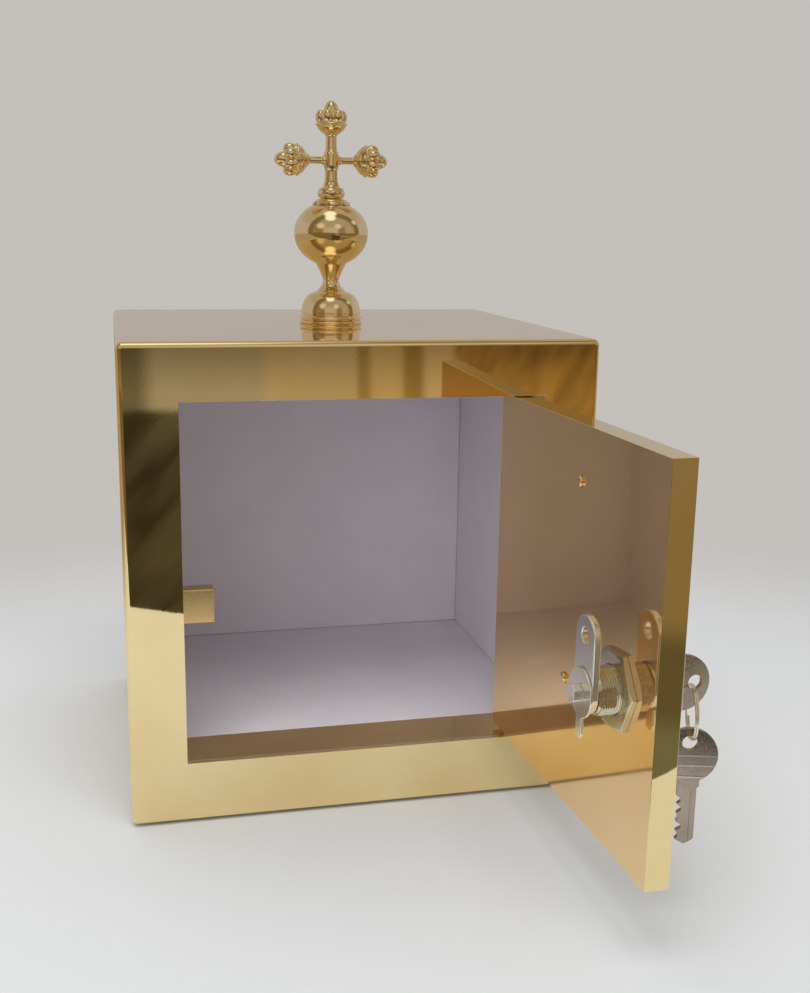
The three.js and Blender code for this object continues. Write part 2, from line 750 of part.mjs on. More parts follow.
// Trefoil of three lobes at the end of one arm of the cross.
function trefoil(x, z, dx, dz) {
  const side = CROSS_LOBE_RADIUS * 1.05;
  const back = 2 * CROSS_LOBE_RADIUS;
  return [
    crossLobe(x - dx * CROSS_LOBE_RADIUS, z - dz * CROSS_LOBE_RADIUS),
    crossLobe(x - dx * back + dz * side, z - dz * back + dx * side),
    crossLobe(x - dx * back - dz * side, z - dz * back - dx * side),
  ];
}

function doorCross() {
  const half = CROSS_BAR_HALF_WIDTH;
  const inset = CROSS_LOBE_RADIUS;
  const span = CROSS_HALF_SPAN - inset;
  const back = -DOOR_FACE - SEAM;
  const pieces = join([
    crossBar(-half, half, CROSS_FOOT + inset, CROSS_TOP - inset),
    crossBar(-span, span, CROSS_ARM_HEIGHT - half, CROSS_ARM_HEIGHT + half),
    ...trefoil(0, CROSS_TOP, 0, 1),
    ...trefoil(0, CROSS_FOOT, 0, -1),
    ...trefoil(CROSS_HALF_SPAN, CROSS_ARM_HEIGHT, 1, 0),
    ...trefoil(-CROSS_HALF_SPAN, CROSS_ARM_HEIGHT, -1, 0),
  ]);
  const proud = keep(pieces, box(-2 * CROSS_HALF_SPAN, 2 * CROSS_HALF_SPAN, back - 10, back, 0, HEIGHT));
  return proud.translate(-CROSS_CENTRE_REACH, 0, BASE);
}

function crossStud({ reach, height }) {
  const y0 = -DOOR_FACE - SEAM / 2;
  const y1 = DOOR_FACE + STUD_PROUD;
  const stud = turned([
    [0, y0], [STUD_RADIUS, y0], [STUD_RADIUS, y1 - 0.6], [STUD_RADIUS - 0.8, y1], [0, y1],
  ], SMALL_ROUND);
  return stud.translate(-reach, 0, BASE + height);
}

// Lock, drawn with its axis along Y

function lockBarrel() {
  return turned([
    [BARREL_BORE, BARREL_FACE],
    [BARREL_FLANGE_RADIUS - 1.6, BARREL_FACE],
    [BARREL_FLANGE_RADIUS, BARREL_FACE + 1.3],
    [BARREL_FLANGE_RADIUS, -DOOR_FACE - SEAM],
    [BARREL_RADIUS, -DOOR_FACE - SEAM],
    [BARREL_RADIUS, BARREL_END - 0.8],
    [BARREL_RADIUS - 0.8, BARREL_END],
    [BARREL_BORE, BARREL_END],
    [BARREL_BORE, BARREL_FACE],
  ]);
}

function lockNut() {
  const outline = hexagon(NUT_ACROSS_FLATS - 1.2);
  outline.holes.push(circle(0, 0, BARREL_RADIUS + 0.75));
  const front = DOOR_FACE + SEAM;
  const nut = plate(outline, front + 0.6, front + NUT_THICKNESS - 0.6, 24, {
    bevelEnabled: true, bevelThickness: 0.6, bevelSize: 0.6, bevelSegments: 1,
  });
  return nut.rotateY(THREE.MathUtils.degToRad(NUT_TURN));
}

function lockPlug() {
  const bodyEnd = BARREL_END + SEAM;
  const body = turned([
    [0, BARREL_FACE + 0.3], [PLUG_RADIUS - 0.5, BARREL_FACE + 0.3], [PLUG_RADIUS, BARREL_FACE + 0.8],
    [PLUG_RADIUS, bodyEnd], [0, bodyEnd],
  ], 28);
  const half = TAIL_SQUARE / 2;
  const tail = box(-half, half, bodyEnd - 1, CAM_BACK, -half, half);
  const wide = KEY_THICKNESS / 2 + 0.25;
  const high = KEY_BLADE_HALF_WIDTH + 0.35;
  const keyway = box(-wide, wide, BARREL_FACE - 5, BARREL_END - 0.5, -high, high);
  const screwHole = rod(1.65, BARREL_END + 0.1, CAM_BACK + 5, 12);
  return cut(join([body, tail]), [keyway, screwHole]);
}

function lockCam() {
  const outline = new THREE.Shape();
  outline.absarc(0, 0, CAM_HALF_WIDTH, Math.PI, 2 * Math.PI);
  outline.absarc(0, CAM_REACH - CAM_HALF_WIDTH, CAM_HALF_WIDTH, 0, Math.PI);
  const half = TAIL_SQUARE / 2 + 0.15;
  outline.holes.push(square(-half, half, -half, half));
  outline.holes.push(circle(0, CAM_EYE_HEIGHT, CAM_EYE_RADIUS));
  return plate(outline, CAM_FRONT, CAM_BACK, 14);
}

function camTabWasher() {
  const outline = new THREE.Shape();
  const spread = Math.asin(TAB_TONGUE_HALF_WIDTH / TAB_RADIUS);
  const end = -TAB_TONGUE_LENGTH + TAB_TONGUE_HALF_WIDTH;
  outline.absarc(0, 0, TAB_RADIUS, -Math.PI / 2 + spread, 1.5 * Math.PI - spread);
  outline.absarc(0, end, TAB_TONGUE_HALF_WIDTH, Math.PI, 2 * Math.PI);
  outline.holes.push(circle(0, 0, 2.2));
  return plate(outline, TAB_FRONT, TAB_BACK, 12);
}

function camScrew() {
  const seat = TAB_BACK + SEAM;
  const head = plate(hexagon(CAM_SCREW_FLATS), seat, seat + CAM_SCREW_HEAD);
  return join([head, rod(1.5, BARREL_END + 0.4, seat + 1, 12)]);
}

// Keys, drawn with the middle of the bow at the origin and the blade along +Y

function keyShape() {
  const outline = new THREE.Shape();
  const neckStart = Math.asin(KEY_NECK_HALF_WIDTH / KEY_BOW_RADIUS);
  const low = -KEY_BLADE_HALF_WIDTH;
  const high = KEY_BLADE_HALF_WIDTH;
  outline.absarc(0, 0, KEY_BOW_RADIUS, neckStart, 2 * Math.PI - neckStart);
  outline.lineTo(KEY_NECK_END, -KEY_NECK_HALF_WIDTH);
  outline.lineTo(KEY_NECK_END, low);
  outline.lineTo(KEY_TIP - 2.5, low);
  outline.lineTo(KEY_TIP, -1);
  outline.lineTo(KEY_TIP, 0.2);
  KEY_CUT_DEPTHS.toReversed().forEach((depth, i) => {
    const u = KEY_CUT_START + (KEY_CUT_DEPTHS.length - i) * KEY_CUT_PITCH;
    outline.lineTo(u, high - 0.4);
    outline.lineTo(u - 1.4, high - depth);
    outline.lineTo(u - 2.6, high - depth);
  });
  outline.lineTo(KEY_CUT_START, high);
  outline.lineTo(KEY_NECK_END, high);
  outline.lineTo(KEY_NECK_END, KEY_NECK_HALF_WIDTH);
  outline.holes.push(circle(-KEY_HOLE_OFFSET, 0, KEY_HOLE_RADIUS));
  return sideways(outline, -KEY_THICKNESS / 2, KEY_THICKNESS / 2, { curveSegments: 24 });
}

function keyRing() {
  return new THREE.TorusGeometry(RING_RADIUS, RING_WIRE_RADIUS, 8, 32).rotateX(Math.PI / 2);
}

const tabernacle = new THREE.Group();

const housing = new THREE.Group();
tabernacle.add(housing);
add(housing, 'case_wrap', caseWrap(), 'polishedBrass');
add(housing, 'front_plate', frontPlate(), 'polishedBrass');
add(housing, 'door_casing', doorCasing(), 'satinBrass');
add(housing, 'back_panel', backPanel(), 'satinBrass');
lugCentres().forEach((centre, i) => {
  add(housing, `corner_lug_${i + 1}`, cornerLug(centre), 'satinBrass');
  add(housing, `back_panel_screw_${i + 1}`, backPanelScrew(centre), 'nickel');
});
add(housing, 'lining_floor', flatBoard(LINING_FLOOR - BOARD, LINING_FLOOR), 'liningCloth');
add(housing, 'lining_ceiling', flatBoard(LINING_CEILING, LINING_CEILING + BOARD), 'liningCloth');
add(housing, 'lining_left', sideBoard(-1), 'liningCloth');
add(housing, 'lining_right', sideBoard(1), 'liningCloth');
add(housing, 'lining_back', backBoard(), 'liningCloth');
for (const [side, hand] of [[-1, 'left'], [1, 'right']]) {
  add(housing, `floor_bearer_${hand}`, floorBearer(side), 'wood');
  add(housing, `front_batten_${hand}`, sideBatten(side, LINING_START + BATTEN_WIDTH), 'wood');
  add(housing, `rear_batten_${hand}`, sideBatten(side, LINING_END - 2 * BATTEN_WIDTH), 'wood');
}
add(housing, 'strike_block', strikeBlock(), 'polishedBrass');
strikeScrewHeights().forEach((z, i) => add(housing, `strike_screw_${i + 1}`, strikeScrew(z), 'satinBrass'));
add(housing, 'pivot_bush_upper', pivotBushUpper(), 'satinBrass');
add(housing, 'pivot_bush_lower', pivotBushLower(), 'satinBrass');
add(housing, 'base_felt', baseFelt(), 'felt');

const finial = new THREE.Group();
finial.position.set(0, 0, TOP);
tabernacle.add(finial);
add(finial, 'finial_foot', finialFoot(), 'polishedBrass');
add(finial, 'finial_ball', finialBall(), 'polishedBrass');
add(finial, 'finial_cap', finialCap(), 'polishedBrass');
add(finial, 'finial_cross', finialCross(), 'polishedBrass');
add(finial, 'finial_tie_rod', tieRod(), 'nickel');
add(finial, 'finial_washer', tieWasher(), 'nickel');
add(finial, 'finial_nut', tieNut(), 'nickel');

const door = new THREE.Group();
door.position.set(PIVOT_X, PIVOT_Y, 0);
door.rotation.z = THREE.MathUtils.degToRad(DOOR_OPEN_ANGLE);
tabernacle.add(door);
add(door, 'door_leaf', doorLeaf(), 'polishedBrass');
const upperPin = pivotPin(DOOR_TOP - PIN_DEPTH + SEAM, OPENING_TOP + BUSH_LENGTH - 1);
const lowerPin = pivotPin(OPENING_BOTTOM - BUSH_LENGTH + 1, DOOR_BOTTOM + PIN_DEPTH - SEAM);
add(door, 'pivot_pin_upper', upperPin, 'nickel');
add(door, 'pivot_pin_lower', lowerPin, 'nickel');
add(door, 'door_cross', doorCross(), 'polishedBrass');
STUDS.forEach((stud, i) => add(door, `cross_stud_${i + 1}`, crossStud(stud), 'polishedBrass'));

const lock = new THREE.Group();
lock.position.set(-LOCK_REACH, 0, BASE + LOCK_HEIGHT);
door.add(lock);
add(lock, 'lock_barrel', lockBarrel(), 'nickel');
add(lock, 'lock_nut', lockNut(), 'nickel');
add(lock, 'lock_plug', lockPlug(), 'nickel');
add(lock, 'lock_cam', lockCam(), 'nickel');
add(lock, 'cam_tab_washer', camTabWasher(), 'nickel');
add(lock, 'cam_screw', camScrew(), 'nickel');

const key = add(lock, 'lock_key', keyShape(), 'keySteel');
key.position.set(0, KEY_BOW_CENTRE, 0);
const ring = add(lock, 'key_ring', keyRing(), 'nickel');
ring.position.set(0, KEY_BOW_CENTRE - KEY_HOLE_OFFSET, RING_TOP - RING_RADIUS);
ring.rotation.z = THREE.MathUtils.degToRad(RING_TWIST);
const spare = add(lock, 'spare_key', keyShape().rotateX(-Math.PI / 2), 'keySteel');
spare.position.set(0, KEY_BOW_CENTRE - KEY_HOLE_OFFSET, SPARE_HOLE - KEY_HOLE_OFFSET);
spare.rotation.z = ring.rotation.z;

export default tabernacle;
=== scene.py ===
"""Small tabernacle of polished brass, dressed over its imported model.

The box stands at the origin with its front towards -Y, its door open at the right, and a finial
with a budded cross on its top. Everything is in metres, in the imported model's own frame.
"""

import logging
import math
from collections.abc import Callable
from dataclasses import dataclass, field
from enum import Enum

import bpy
from mathutils import Matrix, Vector


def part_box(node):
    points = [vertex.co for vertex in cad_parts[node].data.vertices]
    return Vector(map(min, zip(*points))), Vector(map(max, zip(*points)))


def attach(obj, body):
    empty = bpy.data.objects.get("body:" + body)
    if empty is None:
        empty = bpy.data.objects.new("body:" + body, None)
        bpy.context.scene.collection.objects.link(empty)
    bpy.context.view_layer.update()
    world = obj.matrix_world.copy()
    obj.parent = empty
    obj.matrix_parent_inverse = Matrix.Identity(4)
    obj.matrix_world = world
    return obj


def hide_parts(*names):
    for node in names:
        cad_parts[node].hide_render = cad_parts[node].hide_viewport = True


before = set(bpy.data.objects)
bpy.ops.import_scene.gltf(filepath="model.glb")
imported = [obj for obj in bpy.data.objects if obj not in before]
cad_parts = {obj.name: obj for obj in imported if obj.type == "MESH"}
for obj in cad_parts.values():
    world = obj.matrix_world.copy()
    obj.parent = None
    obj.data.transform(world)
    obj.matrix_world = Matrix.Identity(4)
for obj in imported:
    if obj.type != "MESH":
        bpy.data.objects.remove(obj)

Point = tuple[float, float]
Triple = tuple[float, float, float]
Colour = Triple

LOG = logging.getLogger("tabernacle")
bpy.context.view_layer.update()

MM = 0.001
NEAR = 1e-6
SEAM = 0.05
NOISE_LOW, NOISE_HIGH = 0.32, 0.68
BASE = 1.25
WIDTH = 228.6
HEIGHT = 232.4
DEPTH = 203.2
FRONT = -DEPTH / 2
TOP = BASE + HEIGHT
PIVOT = Vector((76.8 * MM, -95.375 * MM, 0))
OPEN_ANGLE = math.radians(92.3)
DOOR_FRAME = Matrix.Translation(PIVOT) @ Matrix.Rotation(OPEN_ANGLE, 4, "Z")
LOCK_REACH = 130.5
LOCK_HEIGHT = BASE + 104.8
LOCK_FRAME = DOOR_FRAME @ Matrix.Translation((-LOCK_REACH * MM, 0, LOCK_HEIGHT * MM))
FINIAL_FRAME = Matrix.Translation((0, 0, TOP * MM))
ALONG_Y = Matrix.Rotation(math.radians(-90), 4, "X")
ALONG_X = Matrix.Rotation(math.radians(90), 4, "Y")


class Body(str, Enum):
    """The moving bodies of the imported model."""

    CASE = "case"
    DOOR = "door"
    PLUG = "plug"
    KEY = "key"
    RING = "ring"
    SPARE = "spare"


class Slot(str, Enum):
    """The record's material slots."""

    POLISHED = "polished_brass"
    SATIN = "satin_brass"
    NICKEL = "nickel"
    KEY_STEEL = "key_steel"
    LINING = "lining"
    WOOD = "wood"
    FELT = "felt"


# Finishes


class Graph:
    """The shader nodes of one material or world."""

    def __init__(self, tree: bpy.types.NodeTree) -> None:
        """Empty a node tree and keep it."""
        self.tree = tree
        tree.nodes.clear()

    def add(self, kind: str, settings: dict | None = None, **sockets: object) -> bpy.types.Node:
        """Add one node and fill in its sockets.

        Args:
            kind: The node's type, without its ShaderNode prefix.
            settings: Values of the node's own properties.
            **sockets: Values or output sockets for its inputs. A name has _ for each space, and
                in_0, in_1 and so on name inputs by their place.

        Returns:
            The new node.
        """
        node = self.tree.nodes.new("ShaderNode" + kind)
        for name, value in (settings or {}).items():
            setattr(node, name, value)
        for name, value in sockets.items():
            key = int(name[3:]) if name.startswith("in_") else name.replace("_", " ")
            socket = node.inputs[key]
            if isinstance(value, bpy.types.NodeSocket):
                self.tree.links.new(value, socket)
            else:
                socket.default_value = value
        return node

    def places(self, scale: Triple = (1, 1, 1)) -> bpy.types.NodeSocket:
        """Object coordinates, stretched along X, Y and Z."""
        where = self.add("TexCoord")
        return self.add("Mapping", Vector=where.outputs["Object"], Scale=scale).outputs[0]

    def noise(self, scale: Triple, detail: float = 2) -> bpy.types.NodeSocket:
        """Cloudy values around one half, repeated so often in a metre along each axis."""
        return self.add("TexNoise", Vector=self.places(scale), Scale=1.0, Detail=detail).outputs[0]

    def spread(self, value: bpy.types.NodeSocket, low: float, high: float) -> bpy.types.NodeSocket:
        """Bring the middle of a noise to a range."""
        return self.add(
            "MapRange", Value=value, From_Min=NOISE_LOW, From_Max=NOISE_HIGH, To_Min=low,
            To_Max=high,
        ).outputs[0]

    def blend(
        self, factor: bpy.types.NodeSocket | float, first: object, second: object
    ) -> bpy.types.NodeSocket:
        """Mix two colours.

        Args:
            factor: How much of the second is taken.
            first: A colour or a colour socket.
            second: A colour or a colour socket.

        Returns:
            The mixed colour.
        """
        node = self.add("Mix", {"data_type": "RGBA"}, Factor=factor)
        for socket, value in ((node.inputs[6], first), (node.inputs[7], second)):
            if isinstance(value, bpy.types.NodeSocket):
                self.tree.links.new(value, socket)
            else:
                socket.default_value = (*value, 1)
        return node.outputs[2]

    def maths(self, operation: str, first: object, second: object = 0.0) -> bpy.types.NodeSocket:
        """One step of arithmetic on numbers or sockets."""
        return self.add("Math", {"operation": operation}, in_0=first, in_1=second).outputs[0]

    def rise(self, value: bpy.types.NodeSocket, start: float, end: float) -> bpy.types.NodeSocket:
        """Go softly from none to all while a value goes from start to end."""
        return self.add(
            "MapRange", {"interpolation_type": "SMOOTHSTEP"}, Value=value, From_Min=start,
            From_Max=end,
        ).outputs[0]


def blank(name: str) -> tuple[bpy.types.Material, Graph]:
    """Start a material.

    Args:
        name: Its name.

    Returns:
        The material and its empty nodes.
    """
    material = bpy.data.materials.new(name)
    material.use_nodes = True
    return material, Graph(material.node_tree)


@dataclass(frozen=True)
class Metal:
    """A metal with cloudy tone, polish lines and a slight wave in its surface."""

    name: str
    slot: Slot
    light: Colour
    dark: Colour
    roughness: Point
    cloud: float = 18.0
    lines: Triple = (900, 900, 900)
    line_depth: float = 1e-6
    wave: float = 24.0
    wave_depth: float = 6e-6
    metallic: float = 1.0

    def build(self) -> bpy.types.Material:
        """Make the material.

        Returns:
            The new material.
        """
        material, graph = blank(self.name)
        cloud = graph.spread(graph.noise((self.cloud,) * 3, 3), 0, 1)
        lines = graph.noise(self.lines, 3)
        swell = graph.add("Bump", Height=self.swell(graph), Distance=self.wave_depth, Strength=1.0)
        relief = graph.add(
            "Bump", Height=lines, Distance=self.line_depth, Strength=1.0, Normal=swell.outputs[0]
        )
        shader = graph.add(
            "BsdfPrincipled",
            Base_Color=graph.blend(cloud, self.dark, self.light),
            Roughness=graph.spread(lines, *self.roughness),
            Metallic=self.metallic,
            Normal=relief.outputs[0],
        )
        graph.add("OutputMaterial", Surface=shader.outputs[0])
        return material

    def swell(self, graph: Graph) -> bpy.types.NodeSocket:
        """The slow wave in the surface."""
        return graph.noise((self.wave,) * 3, 1)


@dataclass(frozen=True)
class RippledMetal(Metal):
    """A polished sheet that ripples near its upper right corner."""

    start: Point = (0.025, 0.178)
    full: Point = (0.065, 0.200)
    ripple: float = 34.0
    stretch: float = 0.6
    share: float = 11.0

    def swell(self, graph: Graph) -> bpy.types.NodeSocket:
        """Add the ripples to the slow wave.

        Args:
            graph: The material's nodes.

        Returns:
            The height of both together.
        """
        parts = graph.add("SeparateXYZ", Vector=graph.places())
        near: bpy.types.NodeSocket | float = self.share
        for axis, start, full in zip("XZ", self.start, self.full):
            near = graph.maths("MULTIPLY", graph.rise(parts.outputs[axis], start, full), near)
        ripples = graph.noise((self.ripple, self.ripple, self.ripple * self.stretch), 1)
        return graph.maths("ADD", super().swell(graph), graph.maths("MULTIPLY", ripples, near))


@dataclass(frozen=True)
class Cloth:
    """A matt covering: paper cloth on the lining, or felt."""

    name: str
    slot: Slot
    light: Colour
    dark: Colour
    thread: float
    depth: float
    sheen: float

    def build(self) -> bpy.types.Material:
        """Make the material.

        Returns:
            The new material.
        """
        material, graph = blank(self.name)
        cloud = graph.spread(graph.noise((30, 30, 30), 4), 0, 1)
        threads = graph.noise((self.thread,) * 3, 2)
        relief = graph.add("Bump", Height=threads, Distance=self.depth, Strength=1.0)
        shader = graph.add(
            "BsdfPrincipled",
            Base_Color=graph.blend(cloud, self.dark, self.light),
            Roughness=0.85,
            Specular_IOR_Level=0.25,
            Sheen_Weight=self.sheen,
            Sheen_Roughness=0.5,
            Normal=relief.outputs[0],
        )
        graph.add("OutputMaterial", Surface=shader.outputs[0])
        return material


@dataclass(frozen=True)
class Softwood:
    """Bare sawn wood with its grain along Z or Y."""

    name: str
    slot: Slot
    early: Colour
    late: Colour

    def build(self) -> bpy.types.Material:
        """Make the material.

        Returns:
            The new material.
        """
        material, graph = blank(self.name)
        rings = graph.noise((420, 60, 14), 4)
        relief = graph.add("Bump", Height=rings, Distance=0.00008, Strength=1.0)
        shader = graph.add(
            "BsdfPrincipled",
            Base_Color=graph.blend(graph.spread(rings, 0, 1), self.early, self.late),
            Roughness=0.75,
            Normal=relief.outputs[0],
        )
        graph.add("OutputMaterial", Surface=shader.outputs[0])
        return material


POLISHED = Metal(
    "polished_brass", Slot.POLISHED, (0.96, 0.78, 0.43), (0.91, 0.71, 0.36), (0.012, 0.035)
)
FACE = RippledMetal("front_brass", POLISHED.slot, POLISHED.light, POLISHED.dark, POLISHED.roughness)
FINIAL = Metal(
    "finial_brass", Slot.POLISHED, (0.96, 0.80, 0.49), (0.87, 0.67, 0.36), (0.05, 0.12),
    wave_depth=3e-6,
)
BRUSHED = Metal(
    "door_inner_brass", Slot.POLISHED, (0.97, 0.705, 0.365), (0.91, 0.63, 0.315), (0.035, 0.10),
    lines=(520, 520, 6), line_depth=5e-6, cloud=12, metallic=0.95,
)
KEEPER = Metal(
    "keeper_brass", Slot.POLISHED, (0.86, 0.62, 0.29), (0.74, 0.51, 0.22), (0.16, 0.26), cloud=40
)
# A darker, browner brass, used for the reveal.
DARK_BRASS = Metal("dark_brass", Slot.SATIN, (0.86, 0.59, 0.25), (0.74, 0.49, 0.20), (0.08, 0.20))
SATIN = Metal(
    "satin_brass", Slot.SATIN, (0.80, 0.62, 0.34), (0.66, 0.49, 0.25), (0.22, 0.40),
    lines=(700, 700, 60),
)
NICKEL = Metal(
    "bright_nickel", Slot.NICKEL, (0.93, 0.91, 0.84), (0.85, 0.83, 0.76), (0.13, 0.24),
    cloud=30, metallic=0.92,
)
# Nickel for the barrel and nut, tinted gold and darker than the bright nickel: a painted reflection
# of the brass around them.
REFLECTION_TINTED_NICKEL = Metal(
    "reflection_tinted_nickel", Slot.NICKEL, (0.78, 0.72, 0.56), (0.64, 0.58, 0.43), (0.17, 0.28),
    cloud=60, metallic=0.95,
)
# Key nickel, and a lighter one for the rib tops: partly wear that rubs them bright, partly a
# painted highlight along the ribs.
WORN_NICKEL, RUBBED_HIGHLIT_NICKEL = (
    Metal(name, Slot.KEY_STEEL, light, dark, (0.14, 0.24), cloud=45)
    for name, light, dark in (
        ("worn_nickel", (0.47, 0.39, 0.315), (0.37, 0.30, 0.24)),
        ("rubbed_highlit_nickel", (0.66, 0.60, 0.54), (0.56, 0.50, 0.44)),
    )
)
LINING = Cloth("pale_lining", Slot.LINING, (0.84, 0.81, 0.86), (0.80, 0.77, 0.82), 1800, 3e-5, 0.1)
FELT = Cloth("brown_felt", Slot.FELT, (0.055, 0.045, 0.04), (0.03, 0.025, 0.022), 2600, 1.2e-4, 0.3)
WOOD = Softwood("sawn_softwood", Slot.WOOD, (0.55, 0.38, 0.22), (0.42, 0.27, 0.14))


Finish = Metal | Cloth | Softwood


class Finishes:
    """The materials in use, each made once."""

    def __init__(self) -> None:
        """Start with none."""
        self._made: dict[str, bpy.types.Material] = {}

    def of(self, finish: Finish) -> bpy.types.Material:
        """Give a finish's material.

        Args:
            finish: The finish.

        Returns:
            Its material, made on first use.
        """
        if finish.name not in self._made:
            self._made[finish.name] = finish.build()
        return self._made[finish.name]


FINISHES = Finishes()


# Modelling steps


def pick(*pieces: bpy.types.Object) -> None:
    """Select these objects alone, the first one active."""
    bpy.ops.object.select_all(action="DESELECT")
    for piece in pieces:
        piece.select_set(True)
    bpy.context.view_layer.objects.active = pieces[0]


def mode(name: str) -> None:
    """Go to edit or object mode."""
    bpy.ops.object.mode_set(mode=name)


def modify(piece: bpy.types.Object, kind: str, **settings: object) -> None:
    """Add a modifier and apply it.

    Args:
        piece: The object to change.
        kind: The modifier's type.
        **settings: The modifier's properties.
    """
    pick(piece)
    modifier = piece.modifiers.new(kind.lower(), kind)
    for name, value in settings.items():
        setattr(modifier, name, value)
    bpy.ops.object.modifier_apply(modifier=modifier.name)


def settle(piece: bpy.types.Object, place: Matrix = Matrix.Identity(4)) -> bpy.types.Object:
    """Put a piece in its place and keep the place in its mesh.

    Args:
        piece: The object, modelled about its own origin.
        place: Where it goes.

    Returns:
        The same object, at the origin.
    """
    pick(piece)
    piece.matrix_world = place @ piece.matrix_world
    bpy.context.view_layer.update()
    bpy.ops.object.transform_apply(location=True, rotation=True, scale=True)
    return piece


def shift(x: float = 0, y: float = 0, z: float = 0) -> Matrix:
    """A move in millimetres."""
    return Matrix.Translation((x * MM, y * MM, z * MM))


def choose(piece: bpy.types.Object, kind: str, test: Callable[[Vector, Vector], bool]) -> None:
    """Select faces or edges by their place, ready for edit mode.

    Args:
        piece: The object.
        kind: FACE or EDGE.
        test: Takes a face's centre and normal, or an edge's two ends.
    """
    pick(piece)
    mode("EDIT")
    bpy.ops.mesh.select_mode(type=kind)
    bpy.ops.mesh.select_all(action="DESELECT")
    mode("OBJECT")
    mesh = piece.data
    if kind == "FACE":
        for polygon in mesh.polygons:
            polygon.select = test(polygon.center, polygon.normal)
    else:
        for edge in mesh.edges:
            ends = [mesh.vertices[i].co for i in edge.vertices]
            edge.select = test(*ends)
    mode("EDIT")


def round_edges(
    piece: bpy.types.Object, test: Callable[[Vector, Vector], bool], width: float,
    segments: int = 8, last: bool = True,
) -> None:
    """Round the edges that pass a test.

    Args:
        piece: The object.
        test: Takes an edge's two ends.
        width: How wide the rounding is, in millimetres.
        segments: Faces across the rounding.
        last: False leaves the piece in edit mode.
    """
    choose(piece, "EDGE", test)
    bpy.ops.mesh.bevel(offset=width * MM, segments=segments, affect="EDGES")
    if last:
        mode("OBJECT")


def block(low: Triple, high: Triple) -> bpy.types.Object:
    """A box between two corners, in millimetres.

    Args:
        low: Its lowest corner.
        high: Its highest corner.

    Returns:
        The new object.
    """
    a, b = Vector(low) * MM, Vector(high) * MM
    bpy.ops.mesh.primitive_cube_add(size=1, location=(a + b) / 2, scale=b - a)
    return settle(bpy.context.object)


def trace(points: list[Vector]) -> bpy.types.Object:
    """A chain of edges through points, drawn by extruding one corner of a plane.

    Args:
        points: The places, in metres.

    Returns:
        The new object, left in edit mode.
    """
    bpy.ops.object.select_all(action="DESELECT")
    bpy.ops.mesh.primitive_plane_add(size=MM)
    mode("EDIT")
    bpy.ops.mesh.select_mode(type="VERT")
    bpy.ops.mesh.select_all(action="SELECT")
    bpy.ops.mesh.merge(type="CENTER")
    bpy.ops.transform.translate(value=points[0])
    for before, after in zip(points, points[1:]):
        bpy.ops.mesh.extrude_region_move(TRANSFORM_OT_translate={"value": after - before})
    bpy.ops.mesh.select_all(action="SELECT")
    return bpy.context.object


def turned(profile: list[Point], steps: int = 96) -> bpy.types.Object:
    """A piece turned about Z.

    Args:
        profile: Its radii and heights, in millimetres.
        steps: How many faces go round it.

    Returns:
        The new object.
    """
    piece = trace([Vector((radius, 0, height)) * MM for radius, height in profile])
    bpy.ops.mesh.spin(steps=steps, angle=2 * math.pi, center=(0, 0, 0), axis=(0, 0, 1))
    bpy.ops.mesh.select_all(action="SELECT")
    bpy.ops.mesh.remove_doubles(threshold=NEAR)
    bpy.ops.mesh.normals_make_consistent(inside=False)
    mode("OBJECT")
    return piece


def rod(radius: float, low: float, high: float, steps: int) -> bpy.types.Object:
    """A cylinder along Z between two heights, in millimetres."""
    return turned([(0, low), (radius, low), (radius, high), (0, high)], steps)


def slab(outline: list[Vector], through: Vector) -> bpy.types.Object:
    """A flat outline given thickness.

    Args:
        outline: Its corners, in millimetres.
        through: The thickness and its direction, in millimetres.

    Returns:
        The new object.
    """
    piece = trace([corner * MM for corner in outline])
    bpy.ops.mesh.edge_face_add()
    bpy.ops.mesh.extrude_region_move(TRANSFORM_OT_translate={"value": through * MM})
    bpy.ops.mesh.select_all(action="SELECT")
    bpy.ops.mesh.normals_make_consistent(inside=False)
    mode("OBJECT")
    return piece


def combine(
    piece: bpy.types.Object, other: bpy.types.Object, operation: str = "DIFFERENCE"
) -> None:
    """Cut a second object, which is used up, out of a piece, or join or intersect the two."""
    modify(piece, "BOOLEAN", object=other, operation=operation, solver="EXACT")
    bpy.data.objects.remove(other)


def smooth(piece: bpy.types.Object, angle: float) -> None:
    """Shade curved parts smooth and keep flat faces flat.

    Args:
        piece: The object.
        angle: Edges sharper than this stay sharp, in degrees.
    """
    pick(piece)
    bpy.ops.object.shade_smooth_by_angle(angle=math.radians(angle))
    modify(piece, "WEIGHTED_NORMAL", weight=100, keep_sharp=True)


def ease(piece: bpy.types.Object, width: float, segments: int, angle: float) -> None:
    """Round the edges sharper than an angle in degrees, by a width in millimetres."""
    modify(
        piece, "BEVEL", width=width * MM, segments=segments, limit_method="ANGLE",
        angle_limit=math.radians(angle), use_clamp_overlap=False,
    )


def soften(piece: bpy.types.Object, width: float, segments: int = 3, angle: float = 32) -> None:
    """Ease the sharp edges of a piece and shade it smooth."""
    ease(piece, width, segments, angle)
    smooth(piece, angle=48)


def complete(
    piece: bpy.types.Object, name: str, body: Body, finish: Finish, *nodes: str
) -> None:
    """Name a piece, give it its finish, let it ride and stand for its nodes.

    Args:
        piece: The object.
        name: Its name.
        body: The body that it moves with.
        finish: Its finish.
        *nodes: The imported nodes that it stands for.
    """
    piece.name = name
    piece.data.name = name
    if len([material for material in piece.data.materials if material]) < 2:
        piece.data.materials.clear()
        piece.data.materials.append(FINISHES.of(finish))
    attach(piece, body.value)
    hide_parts(*nodes)
    LOG.info("%s: %d faces", name, len(piece.data.polygons))


